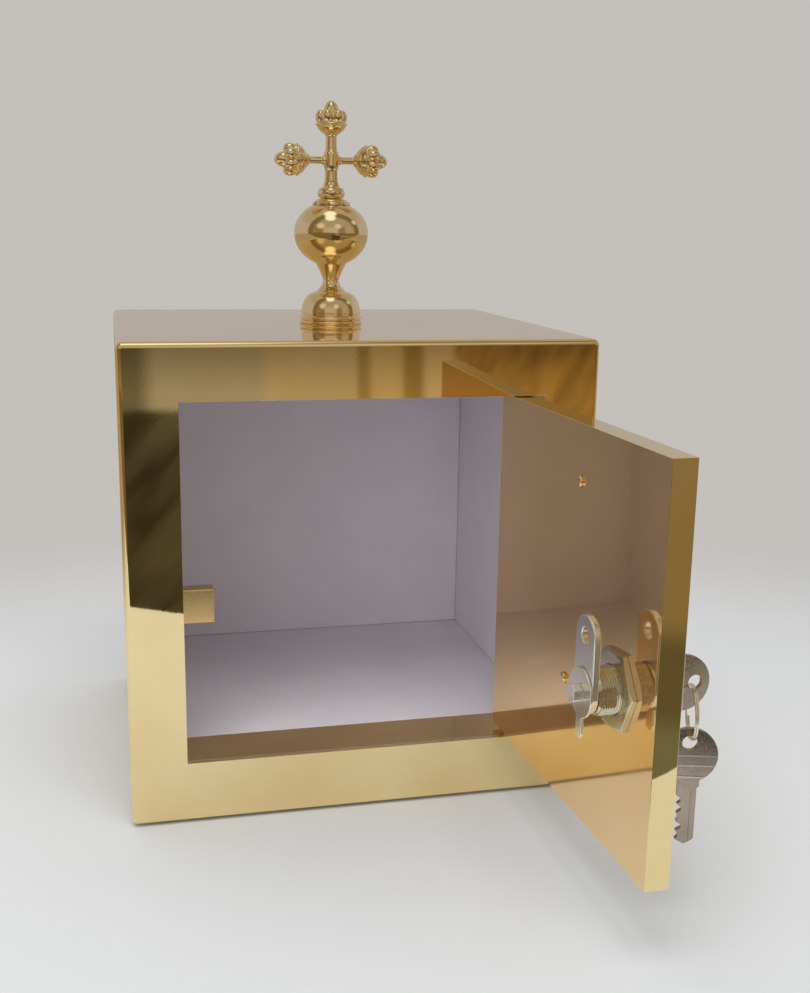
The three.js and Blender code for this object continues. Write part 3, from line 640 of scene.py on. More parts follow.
def recut(
    node: str, name: str, body: Body, finish: Finish, width: float, segments: int = 2
) -> None:
    """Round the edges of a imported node's merged copy and let it stand for the node.

    Args:
        node: The node's name.
        name: The new piece's name.
        body: The body that it moves with.
        finish: Its finish.
        width: How wide the rounding is, in millimetres.
        segments: Faces across the rounding.
    """
    piece = bpy.data.objects.new(name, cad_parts[node].data.copy())
    bpy.context.scene.collection.objects.link(piece)
    pick(piece)
    mode("EDIT")
    bpy.ops.mesh.select_all(action="SELECT")
    bpy.ops.mesh.remove_doubles(threshold=2 * NEAR)
    bpy.ops.mesh.dissolve_limited(angle_limit=math.radians(1))
    mode("OBJECT")
    soften(piece, width, segments)
    complete(piece, name, body, finish, node)


def dress(node: str, finish: Finish) -> None:
    """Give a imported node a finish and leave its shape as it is.

    Args:
        node: The node's name.
        finish: Its finish.
    """
    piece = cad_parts[node]
    piece.data.materials.clear()
    piece.data.materials.append(FINISHES.of(finish))
    LOG.info("%s: dressed", node)


def two_tone(
    piece: bpy.types.Object, main: Finish, other: Finish,
    test: Callable[[bpy.types.MeshPolygon], bool],
) -> None:
    """Give a piece one finish, and the faces that pass a test another.

    Args:
        piece: The object.
        main: Its usual finish.
        other: The finish of the chosen faces.
        test: Takes a face.
    """
    for finish in (main, other):
        piece.data.materials.append(FINISHES.of(finish))
    for polygon in piece.data.polygons:
        polygon.material_index = int(test(polygon))


def joined(parts: list[bpy.types.Object]) -> bpy.types.Object:
    """Make one object of several."""
    pick(*parts)
    bpy.ops.object.join()
    return bpy.context.object


def middle(node: str) -> Vector:
    """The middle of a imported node's box."""
    low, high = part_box(node)
    return (low + high) / 2


def arc(centre: Point, radius: float, start: float, end: float, count: int) -> list[Point]:
    """Points along a circular arc between two angles in degrees, both ends included."""
    angles = [math.radians(start + (end - start) * i / count) for i in range(count + 1)]
    return [(centre[0] + radius * math.cos(a), centre[1] + radius * math.sin(a)) for a in angles]


# The box


@dataclass
class Box:
    """The folded brass wrap, the front with its opening, the reveal and the felt below."""

    sheet: float = 2.0
    corner: float = 3.0
    front: float = 3.2
    roundover: float = 2.6
    stile: float = 27.0
    top_rail: float = 27.0
    bottom_rail: float = 30.0

    def build(self) -> None:
        """Build every piece of the box."""
        self.wrap()
        self.face()
        recut("door_casing", "reveal", Body.CASE, DARK_BRASS, 0.12)
        recut("base_felt", "felt_pad", Body.CASE, FELT, 0.3)

    def round_corners(self, piece: bpy.types.Object) -> None:
        """Round the four edges that run from front to back.

        Args:
            piece: The box or plate.
        """
        half, low, high = WIDTH / 2 * MM, BASE * MM, TOP * MM

        def at_corner(a: Vector, b: Vector) -> bool:
            """Tell an edge that runs along Y at a corner of the outline."""
            along = abs(a.x - b.x) + abs(a.z - b.z) < NEAR
            level = min(abs(a.z - low), abs(a.z - high)) < NEAR
            return along and level and abs(abs(a.x) - half) < NEAR

        round_edges(piece, at_corner, self.corner)

    def wrap(self) -> None:
        """Build the top, sides and bottom as one folded sheet."""
        start = FRONT + self.front + SEAM
        piece = block((-WIDTH / 2, start, BASE), (WIDTH / 2, DEPTH / 2, TOP))
        self.round_corners(piece)
        choose(piece, "FACE", lambda centre, normal: abs(normal.y) > 0.9)
        bpy.ops.mesh.delete(type="FACE")
        mode("OBJECT")
        modify(piece, "SOLIDIFY", thickness=self.sheet * MM, offset=-1, use_even_offset=True)
        soften(piece, 0.25, 2, angle=50)
        complete(piece, "brass_wrap", Body.CASE, POLISHED, "case_wrap")

    def face(self) -> None:
        """Build the front with its rounded rim and its opening."""
        piece = block((-WIDTH / 2, FRONT, BASE), (WIDTH / 2, FRONT + self.front, TOP))
        half = (WIDTH / 2 - self.stile) * MM
        low, high = (BASE + self.bottom_rail) * MM, (TOP - self.top_rail) * MM
        self.round_corners(piece)

        def on_rim(a: Vector, b: Vector) -> bool:
            """Tell an edge of the front face's outline."""
            return all(abs(p.y - FRONT * MM) < NEAR for p in (a, b))

        round_edges(piece, on_rim, self.roundover, last=False)
        for place, normal in (
            ((half, 0, 0), (1, 0, 0)), ((-half, 0, 0), (1, 0, 0)),
            ((0, 0, low), (0, 0, 1)), ((0, 0, high), (0, 0, 1)),
        ):
            bpy.ops.mesh.select_all(action="SELECT")
            bpy.ops.mesh.bisect(plane_co=place, plane_no=normal)
        mode("OBJECT")

        def in_opening(centre: Vector, normal: Vector) -> bool:
            """Tell a front or back face within the opening."""
            return abs(centre.x) < half and low < centre.z < high and abs(normal.y) > 0.9

        choose(piece, "FACE", in_opening)
        bpy.ops.mesh.delete(type="FACE")
        mode("OBJECT")

        def on_opening(a: Vector, b: Vector) -> bool:
            """Tell an edge of the cut opening."""
            mid = (a + b) / 2
            side = abs(abs(mid.x) - half) < NEAR and low - NEAR < mid.z < high + NEAR
            flat = min(abs(mid.z - low), abs(mid.z - high)) < NEAR and abs(mid.x) < half + NEAR
            return (side or flat) and abs(a.y - b.y) < NEAR

        choose(piece, "EDGE", on_opening)
        bpy.ops.mesh.bridge_edge_loops()
        bpy.ops.mesh.select_all(action="SELECT")
        bpy.ops.mesh.dissolve_limited(angle_limit=math.radians(0.5))
        bpy.ops.mesh.normals_make_consistent(inside=False)
        mode("OBJECT")
        soften(piece, 0.15, 2, angle=50)
        complete(piece, "front_face", Body.CASE, FACE, "front_plate")


@dataclass
class Lining:
    """Five cloth-covered boards, and the wood that carries them."""

    boards: tuple[str, ...] = ("floor", "ceiling", "left", "right", "back")
    rounding: float = 0.7

    def build(self) -> None:
        """Build the boards and dress the wood."""
        for board in self.boards:
            recut(f"lining_{board}", f"covered_board_{board}", Body.CASE, LINING, self.rounding, 3)
        for hand in ("left", "right"):
            for part in ("floor_bearer", "front_batten", "rear_batten"):
                dress(f"{part}_{hand}", WOOD)


@dataclass
class Screw:
    """A pan-head screw with a crossed recess."""

    head: float
    height: float
    shank: float
    length: float
    recess: float = 0.62
    groove: float = 0.32

    def model(self) -> bpy.types.Object:
        """Model one screw about Z, its seat at zero.

        Returns:
            The new object.
        """
        dome = [
            (self.head * math.cos(math.radians(a)) ** 0.6, self.height * math.sin(math.radians(a)))
            for a in (8, 25, 45, 62, 78)
        ]
        piece = turned(
            [(0, -self.length), (self.shank, -self.length), (self.shank, SEAM), (self.head, SEAM),
             *dome, (0, self.height)], 40,
        )
        reach = self.head * self.recess
        for x, y in ((reach, self.groove), (self.groove, reach)):
            combine(piece, block((-x, -y, self.height * 0.45), (x, y, self.height * 2)))
        smooth(piece, 40)
        return piece


@dataclass
class Back:
    """The plain back panel with its corner lugs and screws."""

    screw: Screw = field(default_factory=lambda: Screw(3.4, 1.9, 1.7, 11))

    def build(self) -> None:
        """Build the panel and its four screws."""
        recut("back_panel", "rear_plate", Body.CASE, SATIN, 0.2)
        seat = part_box("back_panel")[1].y
        for number in range(1, 5):
            node = f"back_panel_screw_{number}"
            where = middle(node)
            piece = self.screw.model()
            settle(piece, Matrix.Translation((where.x, seat, where.z)) @ ALONG_Y)
            complete(piece, f"rear_screw_{number}", Body.CASE, NICKEL, node)
            dress(f"corner_lug_{number}", SATIN)


@dataclass
class Strike:
    """The brass block on the left of the reveal that the cam locks behind."""

    screw: Screw = field(default_factory=lambda: Screw(2.9, 1.7, 1.5, 18))

    def build(self) -> None:
        """Build the block and its two screws."""
        recut("strike_block", "strike_keeper", Body.CASE, KEEPER, 0.35)
        for number in (1, 2):
            node = f"strike_screw_{number}"
            low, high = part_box(node)
            screw = self.screw.model()
            seat = high.x - self.screw.height * MM
            settle(screw, Matrix.Translation((seat, middle(node).y, middle(node).z)) @ ALONG_X)
            complete(screw, f"keeper_screw_{number}", Body.CASE, SATIN, node)


# The finial


@dataclass
class Finial:
    """Moulded foot, ball on its cone, scalloped crown and budded cross."""

    bore: float = 2.55
    foot: float = 16.9
    neck: float = 4.3
    neck_height: float = 22.9
    ball: float = 19.7
    ball_drop: float = 17.5
    ball_rise: float = 16.2
    ball_centre: float = 47.7
    skirt: float = 10.0
    knob: float = 7.2
    knob_height: float = 68.0
    crown_top: float = 73.6
    crossing: float = 84.7
    stem: float = 3.4
    arm: float = 1.8
    span: float = 30.4
    top: float = 115.0
    bud_length: float = 18.5
    bud: float = 8.3

    def build(self) -> None:
        """Build the four turned and cast pieces."""
        self.pedestal()
        self.globe()
        self.crown()
        self.cross()
        for node in ("finial_tie_rod", "finial_washer", "finial_nut"):
            dress(node, NICKEL)

    def place(self, piece: bpy.types.Object, name: str, node: str) -> None:
        """Set a finished piece, modelled with the box's top at zero, in its place."""
        settle(piece, FINIAL_FRAME)
        complete(piece, name, Body.CASE, FINIAL, node)

    def pedestal(self) -> None:
        """Build the foot: a grooved band, a bell and a neck that flares into it."""
        band, shoulder, crown = 5.1, 16.6, 8.0
        wide = self.foot - 1.1
        rim = [
            (self.foot - 0.5, 0.05), *arc((self.foot - 0.8, 1.05), 0.8, -60, 75, 8),
            (self.foot - 1.25, 2.05), (self.foot - 1.25, 2.35),
            *arc((self.foot - 0.75, 3.3), 0.75, -75, 75, 8),
            (self.foot - 1.2, 4.35), (self.foot - 1.2, 4.7),
        ]
        swell = shoulder - band - 0.5
        bell = [
            (crown + (wide - crown) * math.cos(t), band + 0.5 + swell * math.sin(t))
            for t in (math.pi / 2 * i / 20 for i in range(20))
        ]
        ridge = arc((crown - 0.2, shoulder + 0.1), 0.35, 20, 110, 5)
        rise = self.neck_height - shoulder - 0.5
        throat = [
            (self.neck + 3.3 * (1 - t) ** 1.9, shoulder + 0.5 + rise * t)
            for t in (i / 14 for i in range(15))
        ]
        piece = turned(
            [(self.bore, 0.05), *rim, *bell, *ridge, *throat, (self.bore, self.neck_height),
             (self.bore, 0.05)], 128,
        )
        smooth(piece, 50)
        self.place(piece, "finial_pedestal", "finial_foot")

    def globe(self) -> None:
        """Build the ball, flatter above than below, with the cone that carries it."""
        start = -math.degrees(math.asin((self.ball_centre - 32.3) / self.ball_drop))
        end = math.degrees(math.acos(self.bore / self.ball))
        shell = []
        for step in range(61):
            angle = math.radians(start + (end - start) * step / 60)
            half = self.ball_drop if angle < 0 else self.ball_rise
            shell.append((self.ball * math.cos(angle), self.ball_centre + half * math.sin(angle)))
        foot = self.neck_height + SEAM
        cone = [
            (self.neck + 3.9 * t ** 1.3, foot + (31.7 - foot) * t)
            for t in (i / 12 for i in range(13))
        ]
        piece = turned([(self.bore, foot), *cone, *shell, (self.bore, foot)], 160)
        smooth(piece, 60)
        self.place(piece, "finial_globe", "finial_ball")

    def crown(self) -> None:
        """Build the scalloped skirt and the knob over the ball."""
        ring = self.knob - 5.2
        knob = [
            (5.2 + ring * math.cos(a), self.knob_height + 2.8 * math.sin(a))
            for a in (math.radians(degrees) for degrees in range(-80, 81, 8))
        ]
        piece = turned(
            [(2.2, 58), (self.skirt - 0.3, 58), (self.skirt, 62.0), (self.skirt - 0.05, 62.6),
             (self.skirt - 0.5, 63.2), (self.skirt - 1.1, 63.6), (self.skirt - 1.5, 63.75),
             (self.skirt - 1.6, 64.1), (self.skirt - 2.3, 64.7), (self.skirt - 3.6, 65.1), *knob,
             (4.9, 70.95), (4.4, 71.5), (4.0, 72.4), (3.75, self.crown_top),
             (2.2, self.crown_top), (2.2, 58)], 128,
        )
        out = self.skirt + 0.45
        for index in range(8):
            angle = (index + 0.5) * math.pi / 4
            bite = rod(1.75, 55, 66, 24)
            combine(piece, settle(bite, shift(out * math.cos(angle), out * math.sin(angle))))
        bpy.ops.object.select_all(action="DESELECT")
        bpy.ops.mesh.primitive_uv_sphere_add(segments=96, ring_count=48, radius=1)
        ball = bpy.context.object
        ball.scale = Vector((self.ball + 0.15, self.ball + 0.15, self.ball_rise + 0.15)) * MM
        ball.location = (0, 0, self.ball_centre * MM)
        combine(piece, settle(ball))
        smooth(piece, 40)
        self.place(piece, "finial_crown", "finial_cap")

    def petal(self, place: Vector, size: Vector, tilt: Vector) -> bpy.types.Object:
        """Model one lobe of a bud.

        Args:
            place: Its middle, in millimetres.
            size: Its half sizes, in millimetres.
            tilt: The direction that its long axis follows.

        Returns:
            The new object.
        """
        bpy.ops.object.select_all(action="DESELECT")
        bpy.ops.mesh.primitive_uv_sphere_add(segments=32, ring_count=20, radius=MM)
        lobe = bpy.context.object
        lobe.matrix_world = (
            Matrix.Translation(place * MM) @ tilt.to_track_quat("Z", "Y").to_matrix().to_4x4()
            @ Matrix.Diagonal((*size, 1))
        )
        return settle(lobe)

    def budded_end(self, place: Matrix) -> list[bpy.types.Object]:
        """Model the parts of one budded end along +Z.

        Args:
            place: Where the bud's start goes.

        Returns:
            Its overlapping parts.
        """
        rim = self.bud
        calyx = turned(
            [(0, -1), (self.arm, -1), (self.arm, -0.1), (2.7, 0.15), (3.1, 0.6), (3.1, 1.0),
             (3.9, 1.5), (5.1, 2.4), (6.2, 3.3), (6.9, 4.2), (rim - 0.95, 5.0), (rim - 1.1, 5.4),
             *arc((rim - 0.85, 6.3), 0.85, -80, 80, 8), (rim - 1.3, 7.3), (6.0, 8.2), (0, 9.5)], 56,
        )
        heart = self.petal(Vector((0, 0, 12.0)), Vector((4.1, 4.1, 6.2)), Vector((0, 0, 1)))
        parts = [calyx, heart]
        for index in range(6):
            angle = index * math.pi / 3
            out = Vector((math.cos(angle), math.sin(angle), 0))
            lean = out * 0.18 + Vector((0, 0, 1))
            parts.append(self.petal(out * 5.4 + Vector((0, 0, 9.6)), Vector((3.0, 2.9, 3.9)), lean))
        return [settle(part, place) for part in parts]

    def cross(self) -> None:
        """Build the cross as one casting: stem, arms and three buds run into each other."""
        base, stem, crossing = self.crown_top, self.stem, self.crossing
        post = turned(
            [(0, base - 4.4), (2, base - 4.4), (2, base + 0.1), (stem + 0.25, base + 0.1),
             (stem + 0.1, base + 1.6), (stem - 0.1, base + 3), (stem - 0.1, crossing - 5.2),
             (stem + 0.2, crossing - 4.4), (stem + 0.5, crossing - 3), (stem + 0.5, crossing + 3),
             (stem + 0.2, crossing + 4.4), (stem - 0.3, crossing + 5.2),
             (stem - 0.5, self.top - 17.8), (0, self.top - 17.8)], 56,
        )
        reach = self.span - self.bud_length
        arms = turned(
            [(0, -reach), (self.arm, -reach), (self.arm, -5.4), (2.3, -4.6), (2.6, -3.4),
             (2.6, 3.4), (2.3, 4.6), (self.arm, 5.4), (self.arm, reach), (0, reach)], 40,
        )
        settle(arms, shift(z=crossing) @ ALONG_X)
        parts = [post, arms]
        for angle, start in (
            (0, (0, 0, self.top - self.bud_length)), (90, (reach, 0, self.crossing)),
            (-90, (-reach, 0, self.crossing)),
        ):
            turn = Matrix.Rotation(math.radians(angle), 4, "Y")
            parts += self.budded_end(Matrix.Translation(Vector(start) * MM) @ turn)
        piece = joined(parts)
        modify(piece, "REMESH", mode="VOXEL", voxel_size=0.25 * MM)
        modify(piece, "SMOOTH", factor=0.5, iterations=2)
        smooth(piece, 60)
        self.place(piece, "finial_budded_cross", "finial_cross")


# The door


@dataclass
class Door:
    """The thick leaf that turns on pins, with the ornament on its front."""

    face: float = 5.325
    reach: float = 163.47
    tail: float = 9.7
    fillet: float = 3.0
    low: float = 34.25
    high: float = 206.3
    easing: float = 0.2
    lock_hole: float = 10.2
    pin_hole: float = 2.05
    pin_depth: float = 14.0
    stud: float = 2.35
    stud_round: float = 0.8
    stud_hole: float = 2.5
    studs: tuple[Point, ...] = ((-78.5, 91.25), (-86.5, 181.95))
    cross_centre: Point = (-78.5, 151.25)
    cross_top: float = 191.25
    cross_foot: float = 73.25
    cross_span: float = 34.0
    cross_bar: float = 4.6
    cross_lobe: float = 5.4
    cross_back: float = -5.375
    cross_rise: float = 3.3
    cross_edge: float = 0.9
    lobe_wall: float = 1.3
    lobe_dome: float = 2.2

    def build(self) -> None:
        """Build the leaf, its ornament, studs and pins."""
        self.leaf()
        self.ornament()
        for number, (x, height) in enumerate(self.studs, 1):
            start = self.face + 0.7
            stud = turned(
                [(0, -self.face), (self.stud, -self.face), (self.stud, start),
                 *arc((self.stud - self.stud_round, start), self.stud_round, 0, 90, 5),
                 (0, self.face + 1.5)], 40,
            )
            smooth(stud, 50)
            settle(stud, DOOR_FRAME @ shift(x, z=height) @ ALONG_Y)
            complete(stud, f"stud_end_{number}", Body.DOOR, FINIAL, f"cross_stud_{number}")
        for part in ("upper", "lower"):
            dress(f"pivot_pin_{part}", SATIN)
            dress(f"pivot_bush_{part}", SATIN)

    def bore(self, radius: float, x: float, z: float) -> bpy.types.Object:
        """A cutter for a round hole from front to back."""
        return settle(rod(radius, -20, 20, 64), shift(x, z=z) @ ALONG_Y)

    def lobe(self, x: float, z: float) -> bpy.types.Object:
        """Model one domed lobe of the ornament.

        Args:
            x: Its distance from the ornament's middle line.
            z: Its height.

        Returns:
            The new object.
        """
        radius, back = self.cross_lobe, self.cross_back
        dome = [
            (radius * math.cos(t), back - self.lobe_wall - self.lobe_dome * math.sin(t))
            for t in (math.pi / 2 * i / 12 for i in range(12))
        ]
        tip = back - self.lobe_wall - self.lobe_dome
        piece = turned([(0, back), (radius, back), *dome, (0, tip)], 56)
        return settle(piece, shift(x, z=z) @ ALONG_Y)

    def ornament(self) -> None:
        """Build the budded cross in relief on the leaf's front."""
        bar, lobe, back = self.cross_bar, self.cross_lobe, self.cross_back
        level = self.cross_centre[1]
        wide, top, foot = self.cross_span - lobe, self.cross_top - lobe, self.cross_foot + lobe
        low, high = level - bar, level + bar
        corners = [
            (-bar, foot), (bar, foot), (bar, low), (wide, low), (wide, high), (bar, high),
            (bar, top), (-bar, top), (-bar, high), (-wide, high), (-wide, low), (-bar, low),
        ]
        plate = slab([Vector((x, back, z)) for x, z in corners], Vector((0, -self.cross_rise, 0)))
        front = (back - self.cross_rise + 0.1) * MM
        round_edges(plate, lambda a, b: max(a.y, b.y) < front, self.cross_edge, 4)
        parts = [plate]
        for x, z, out_x, out_z in (
            (0, self.cross_top, 0, 1), (0, self.cross_foot, 0, -1),
            (self.cross_span, level, 1, 0), (-self.cross_span, level, -1, 0),
        ):
            parts.append(self.lobe(x - out_x * lobe, z - out_z * lobe))
            x, z = x - 2 * out_x * lobe, z - 2 * out_z * lobe
            for side in (1.05 * lobe, -1.05 * lobe):
                parts.append(self.lobe(x + out_z * side, z + out_x * side))
        piece = joined(parts)
        smooth(piece, 40)
        settle(piece, DOOR_FRAME @ shift(self.cross_centre[0]))
        complete(piece, "relief_cross", Body.DOOR, FINIAL, "door_cross")

    def leaf(self) -> None:
        """Build the leaf with its holes and eased edges."""
        piece = block((-self.reach, -self.face, self.low), (self.tail, self.face, self.high))
        outer = Vector((self.tail, -self.face, 0)) * MM

        def at_tail(a: Vector, b: Vector) -> bool:
            """Tell the upright edge beside the jamb."""
            return all(abs(p.x - outer.x) < NEAR and abs(p.y - outer.y) < NEAR for p in (a, b))

        round_edges(piece, at_tail, self.fillet)
        combine(piece, self.bore(self.lock_hole, -LOCK_REACH, LOCK_HEIGHT))
        for x, height in self.studs:
            combine(piece, self.bore(self.stud_hole, x, height))
        deep = self.pin_depth
        for start, end in ((self.low - 1, self.low + deep), (self.high - deep, self.high + 1)):
            combine(piece, rod(self.pin_hole, start, end, 32))
        soften(piece, self.easing, 3, angle=50)
        two_tone(piece, POLISHED, BRUSHED, lambda face: face.normal.y > 0.99)
        settle(piece, DOOR_FRAME)
        complete(piece, "door_slab", Body.DOOR, POLISHED, "door_leaf")


# The lock


@dataclass
class CamLock:
    """Threaded barrel and nut in the door, and the plug with its cam behind them."""

    face: float = 5.325
    barrel: float = 10.0
    flange: float = 11.3
    barrel_face: float = -8.975
    barrel_end: float = 17.225
    bore: float = 6.6
    thread_pitch: float = 1.1
    thread_depth: float = 0.45
    flats: float = 8.8
    nut_flats: float = 31.2
    nut: float = 2.8
    nut_turn: float = 25.0

    def build(self) -> None:
        """Build the pieces of the lock."""
        self.threaded_barrel()
        self.hex_nut()
        for node, name, width, segments in (
            ("lock_plug", "plug_core", 0.12, 2), ("lock_cam", "cam_plate", 0.6, 4),
            ("cam_tab_washer", "tab_plate", 0.25, 2), ("cam_screw", "cam_hex_screw", 0.3, 2),
        ):
            recut(node, name, Body.PLUG, NICKEL, width, segments)

    def threaded_barrel(self) -> None:
        """Build the barrel with its flange, thread and two flats."""
        thread = []
        height = self.face + 0.4
        while height < self.barrel_end - 1.5:
            thread += [
                (self.barrel - self.thread_depth, height),
                (self.barrel, height + self.thread_pitch * 0.45),
                (self.barrel, height + self.thread_pitch * 0.55),
            ]
            height += self.thread_pitch
        flange = [
            (9.6, self.barrel_face), (11.0, self.barrel_face + 0.5),
            (self.flange, self.barrel_face + 1.4),
            (self.flange, -self.face - SEAM), (self.barrel, -self.face - SEAM),
        ]
        end = [(9.6, self.barrel_end - 1.2), (9.2, self.barrel_end), (self.bore, self.barrel_end)]
        piece = turned([(self.bore, self.barrel_face), *flange, *thread, *end,
                        (self.bore, self.barrel_face)], 96)
        for side in (-1, 1):
            low, high = sorted((side * self.flats, side * 14))
            combine(piece, block((low, -14, self.face + 4.5), (high, 14, self.barrel_end + 2)))
        smooth(piece, 30)
        settle(piece, LOCK_FRAME @ ALONG_Y)
        complete(piece, "threaded_barrel", Body.DOOR, REFLECTION_TINTED_NICKEL, "lock_barrel")

    def hex_nut(self) -> None:
        """Build the nut: a flat hexagon whose corners are turned down on its outer side."""
        start = self.face + SEAM
        end = start + self.nut
        corner = self.nut_flats / math.sqrt(3)
        points = [
            Vector((corner * math.cos(math.radians(a)), corner * math.sin(math.radians(a)), start))
            for a in range(30, 390, 60)
        ]
        piece = slab(points, Vector((0, 0, self.nut)))
        lens = turned(
            [(0, start - 0.1), (corner - 0.5, start - 0.1), (corner + 0.1, start + 0.7),
             (corner + 0.1, end - 0.95), (15.3, end), (15.0, end + 0.1), (0, end + 0.1)], 96,
        )
        combine(piece, lens, "INTERSECT")
        combine(piece, turned(
            [(0, start - 2), (11.4, start - 2), (10.15, start + 0.6), (10.15, end - 0.6),
             (11.4, end + 2), (0, end + 2)], 96,
        ))
        soften(piece, 0.12, 2, angle=25)
        turn = Matrix.Rotation(math.radians(-self.nut_turn), 4, "Z")
        settle(piece, LOCK_FRAME @ ALONG_Y @ turn)
        complete(piece, "chamfered_nut", Body.DOOR, REFLECTION_TINTED_NICKEL, "lock_nut")


@dataclass
class Keys:
    """The key in the lock, the split ring and the spare key that hangs from it."""

    thickness: float = 2.2
    edge: float = 0.22
    ribs: tuple[Point, ...] = ((0.0, 11.5), (4.4, 10.8), (9.6, 6.6))
    rib_half: float = 0.42
    rib_rise: float = 0.25
    bow: float = 12.0
    hole: float = 3.2
    hole_offset: float = 5.5
    neck: float = 5.0
    neck_end: float = 14.4
    blade: float = 4.1
    tip: float = 39.9
    cuts: tuple[float, ...] = (1.8, 2.3, 1.1, 2.7, 1.5)
    cut_start: float = 18.0
    cut_pitch: float = 4.0
    bow_centre: float = -23.525
    ring: float = 11.3
    ring_wire: float = 0.9
    ring_play: float = 0.2
    ring_turns: float = 690.0
    ring_steps: int = 184
    ring_thin: float = 0.96
    ring_climb: float = 1.917
    twist: float = -18.3

    def build(self) -> None:
        """Build the two keys and the ring."""
        ring_top = -self.hole + self.ring_wire + self.ring_play
        ring_bottom = ring_top - 2 * self.ring
        spare_hole = ring_bottom + self.ring_wire + self.ring_play - self.hole
        twist = Matrix.Rotation(math.radians(self.twist), 4, "Z")
        key = self.key()
        settle(key, LOCK_FRAME @ shift(y=self.bow_centre))
        complete(key, "key_in_lock", Body.KEY, WORN_NICKEL, "lock_key")
        hang = self.bow_centre - self.hole_offset
        spare = self.key()
        down = shift(y=hang, z=spare_hole - self.hole_offset)
        settle(spare, LOCK_FRAME @ down @ twist @ ALONG_Y)
        complete(spare, "hanging_key", Body.SPARE, WORN_NICKEL, "spare_key")
        ring = self.split_ring()
        settle(ring, LOCK_FRAME @ shift(y=hang, z=ring_top - self.ring) @ twist)
        complete(ring, "split_ring", Body.RING, NICKEL, "key_ring")

    def outline(self) -> list[Point]:
        """Draw a key flat, its blade along the first axis.

        Returns:
            The corners, in millimetres.
        """
        neck, end, blade, tip = self.neck, self.neck_end, self.blade, self.tip
        start = math.degrees(math.asin(neck / self.bow))
        line = arc((0, 0), self.bow, start, 360 - start, 64)
        line += [(end - 0.8, -neck), (end, -neck + 0.8), (end, -blade)]
        line += [(tip - 2.5, -blade), (tip, -1), (tip, 0.2)]
        for index, depth in reversed(list(enumerate(self.cuts))):
            u = self.cut_start + (index + 1) * self.cut_pitch
            line += [(u, blade - 0.4), (u - 1.4, blade - depth), (u - 2.6, blade - depth)]
        line += [(self.cut_start, blade), (end, blade), (end, neck - 0.8), (end - 0.8, neck)]
        return line

    def key(self) -> bpy.types.Object:
        """Model a key about the middle of its bow.

        Returns:
            The new object.
        """
        half = self.thickness / 2
        flat = [Vector((-half, u, v)) for u, v in self.outline()]
        piece = slab(flat, Vector((self.thickness, 0, 0)))
        ease(piece, self.edge, 2, 30)
        top, wide = half + self.rib_rise, self.rib_half
        for place, chord in self.ribs:
            rib = block((-top, place - wide, -chord), (top, place + wide, chord))
            combine(piece, rib, "UNION")
        eye = rod(self.hole, -6, 6, 40)
        combine(piece, settle(eye, shift(y=-self.hole_offset) @ ALONG_X))
        for side in (-1, 1):
            low, high = sorted((side * (half - 0.55), side * (half + 1)))
            combine(piece, block((low, self.neck_end + 1.6, -1.9), (high, self.tip + 2, -0.7)))
        low, high = half - 0.45, half + 1
        combine(piece, block((low, self.neck_end + 1.6, 0.5), (high, self.tip + 2, 1.1)))
        smooth(piece, 35)
        # The rib tops take the lighter nickel: rubbed bright by wear, and also a painted highlight.
        ridge = (half + 0.12) * MM
        two_tone(piece, WORN_NICKEL, RUBBED_HIGHLIT_NICKEL, lambda face: abs(face.center.x) > ridge)
        return piece

    def split_ring(self) -> bpy.types.Object:
        """Model the ring as two close turns of one wire.

        Returns:
            The new object.
        """
        wire = self.ring_wire / 2
        bpy.ops.object.select_all(action="DESELECT")
        bpy.ops.mesh.primitive_circle_add(
            vertices=14, radius=wire * self.ring_thin * MM, rotation=(math.pi / 2, 0, 0)
        )
        piece = bpy.context.object
        settle(piece, shift(self.ring, z=-self.ring_wire))
        modify(
            piece, "SCREW", axis="Z", angle=math.radians(self.ring_turns),
            steps=self.ring_steps, render_steps=self.ring_steps,
            screw_offset=2 * wire * self.ring_climb * MM, iterations=1, use_merge_vertices=False,
        )
        pick(piece)
        mode("EDIT")
        bpy.ops.mesh.select_all(action="SELECT")
        bpy.ops.mesh.remove_doubles(threshold=1e-7)
        bpy.ops.mesh.select_all(action="DESELECT")
        bpy.ops.mesh.select_mode(type="EDGE")
        bpy.ops.mesh.select_non_manifold()
        bpy.ops.mesh.edge_face_add()
        bpy.ops.mesh.select_all(action="SELECT")
        bpy.ops.mesh.normals_make_consistent(inside=False)
        mode("OBJECT")
        smooth(piece, 60)
        return settle(piece, Matrix.Rotation(math.radians(90), 4, "X"))


# The studio


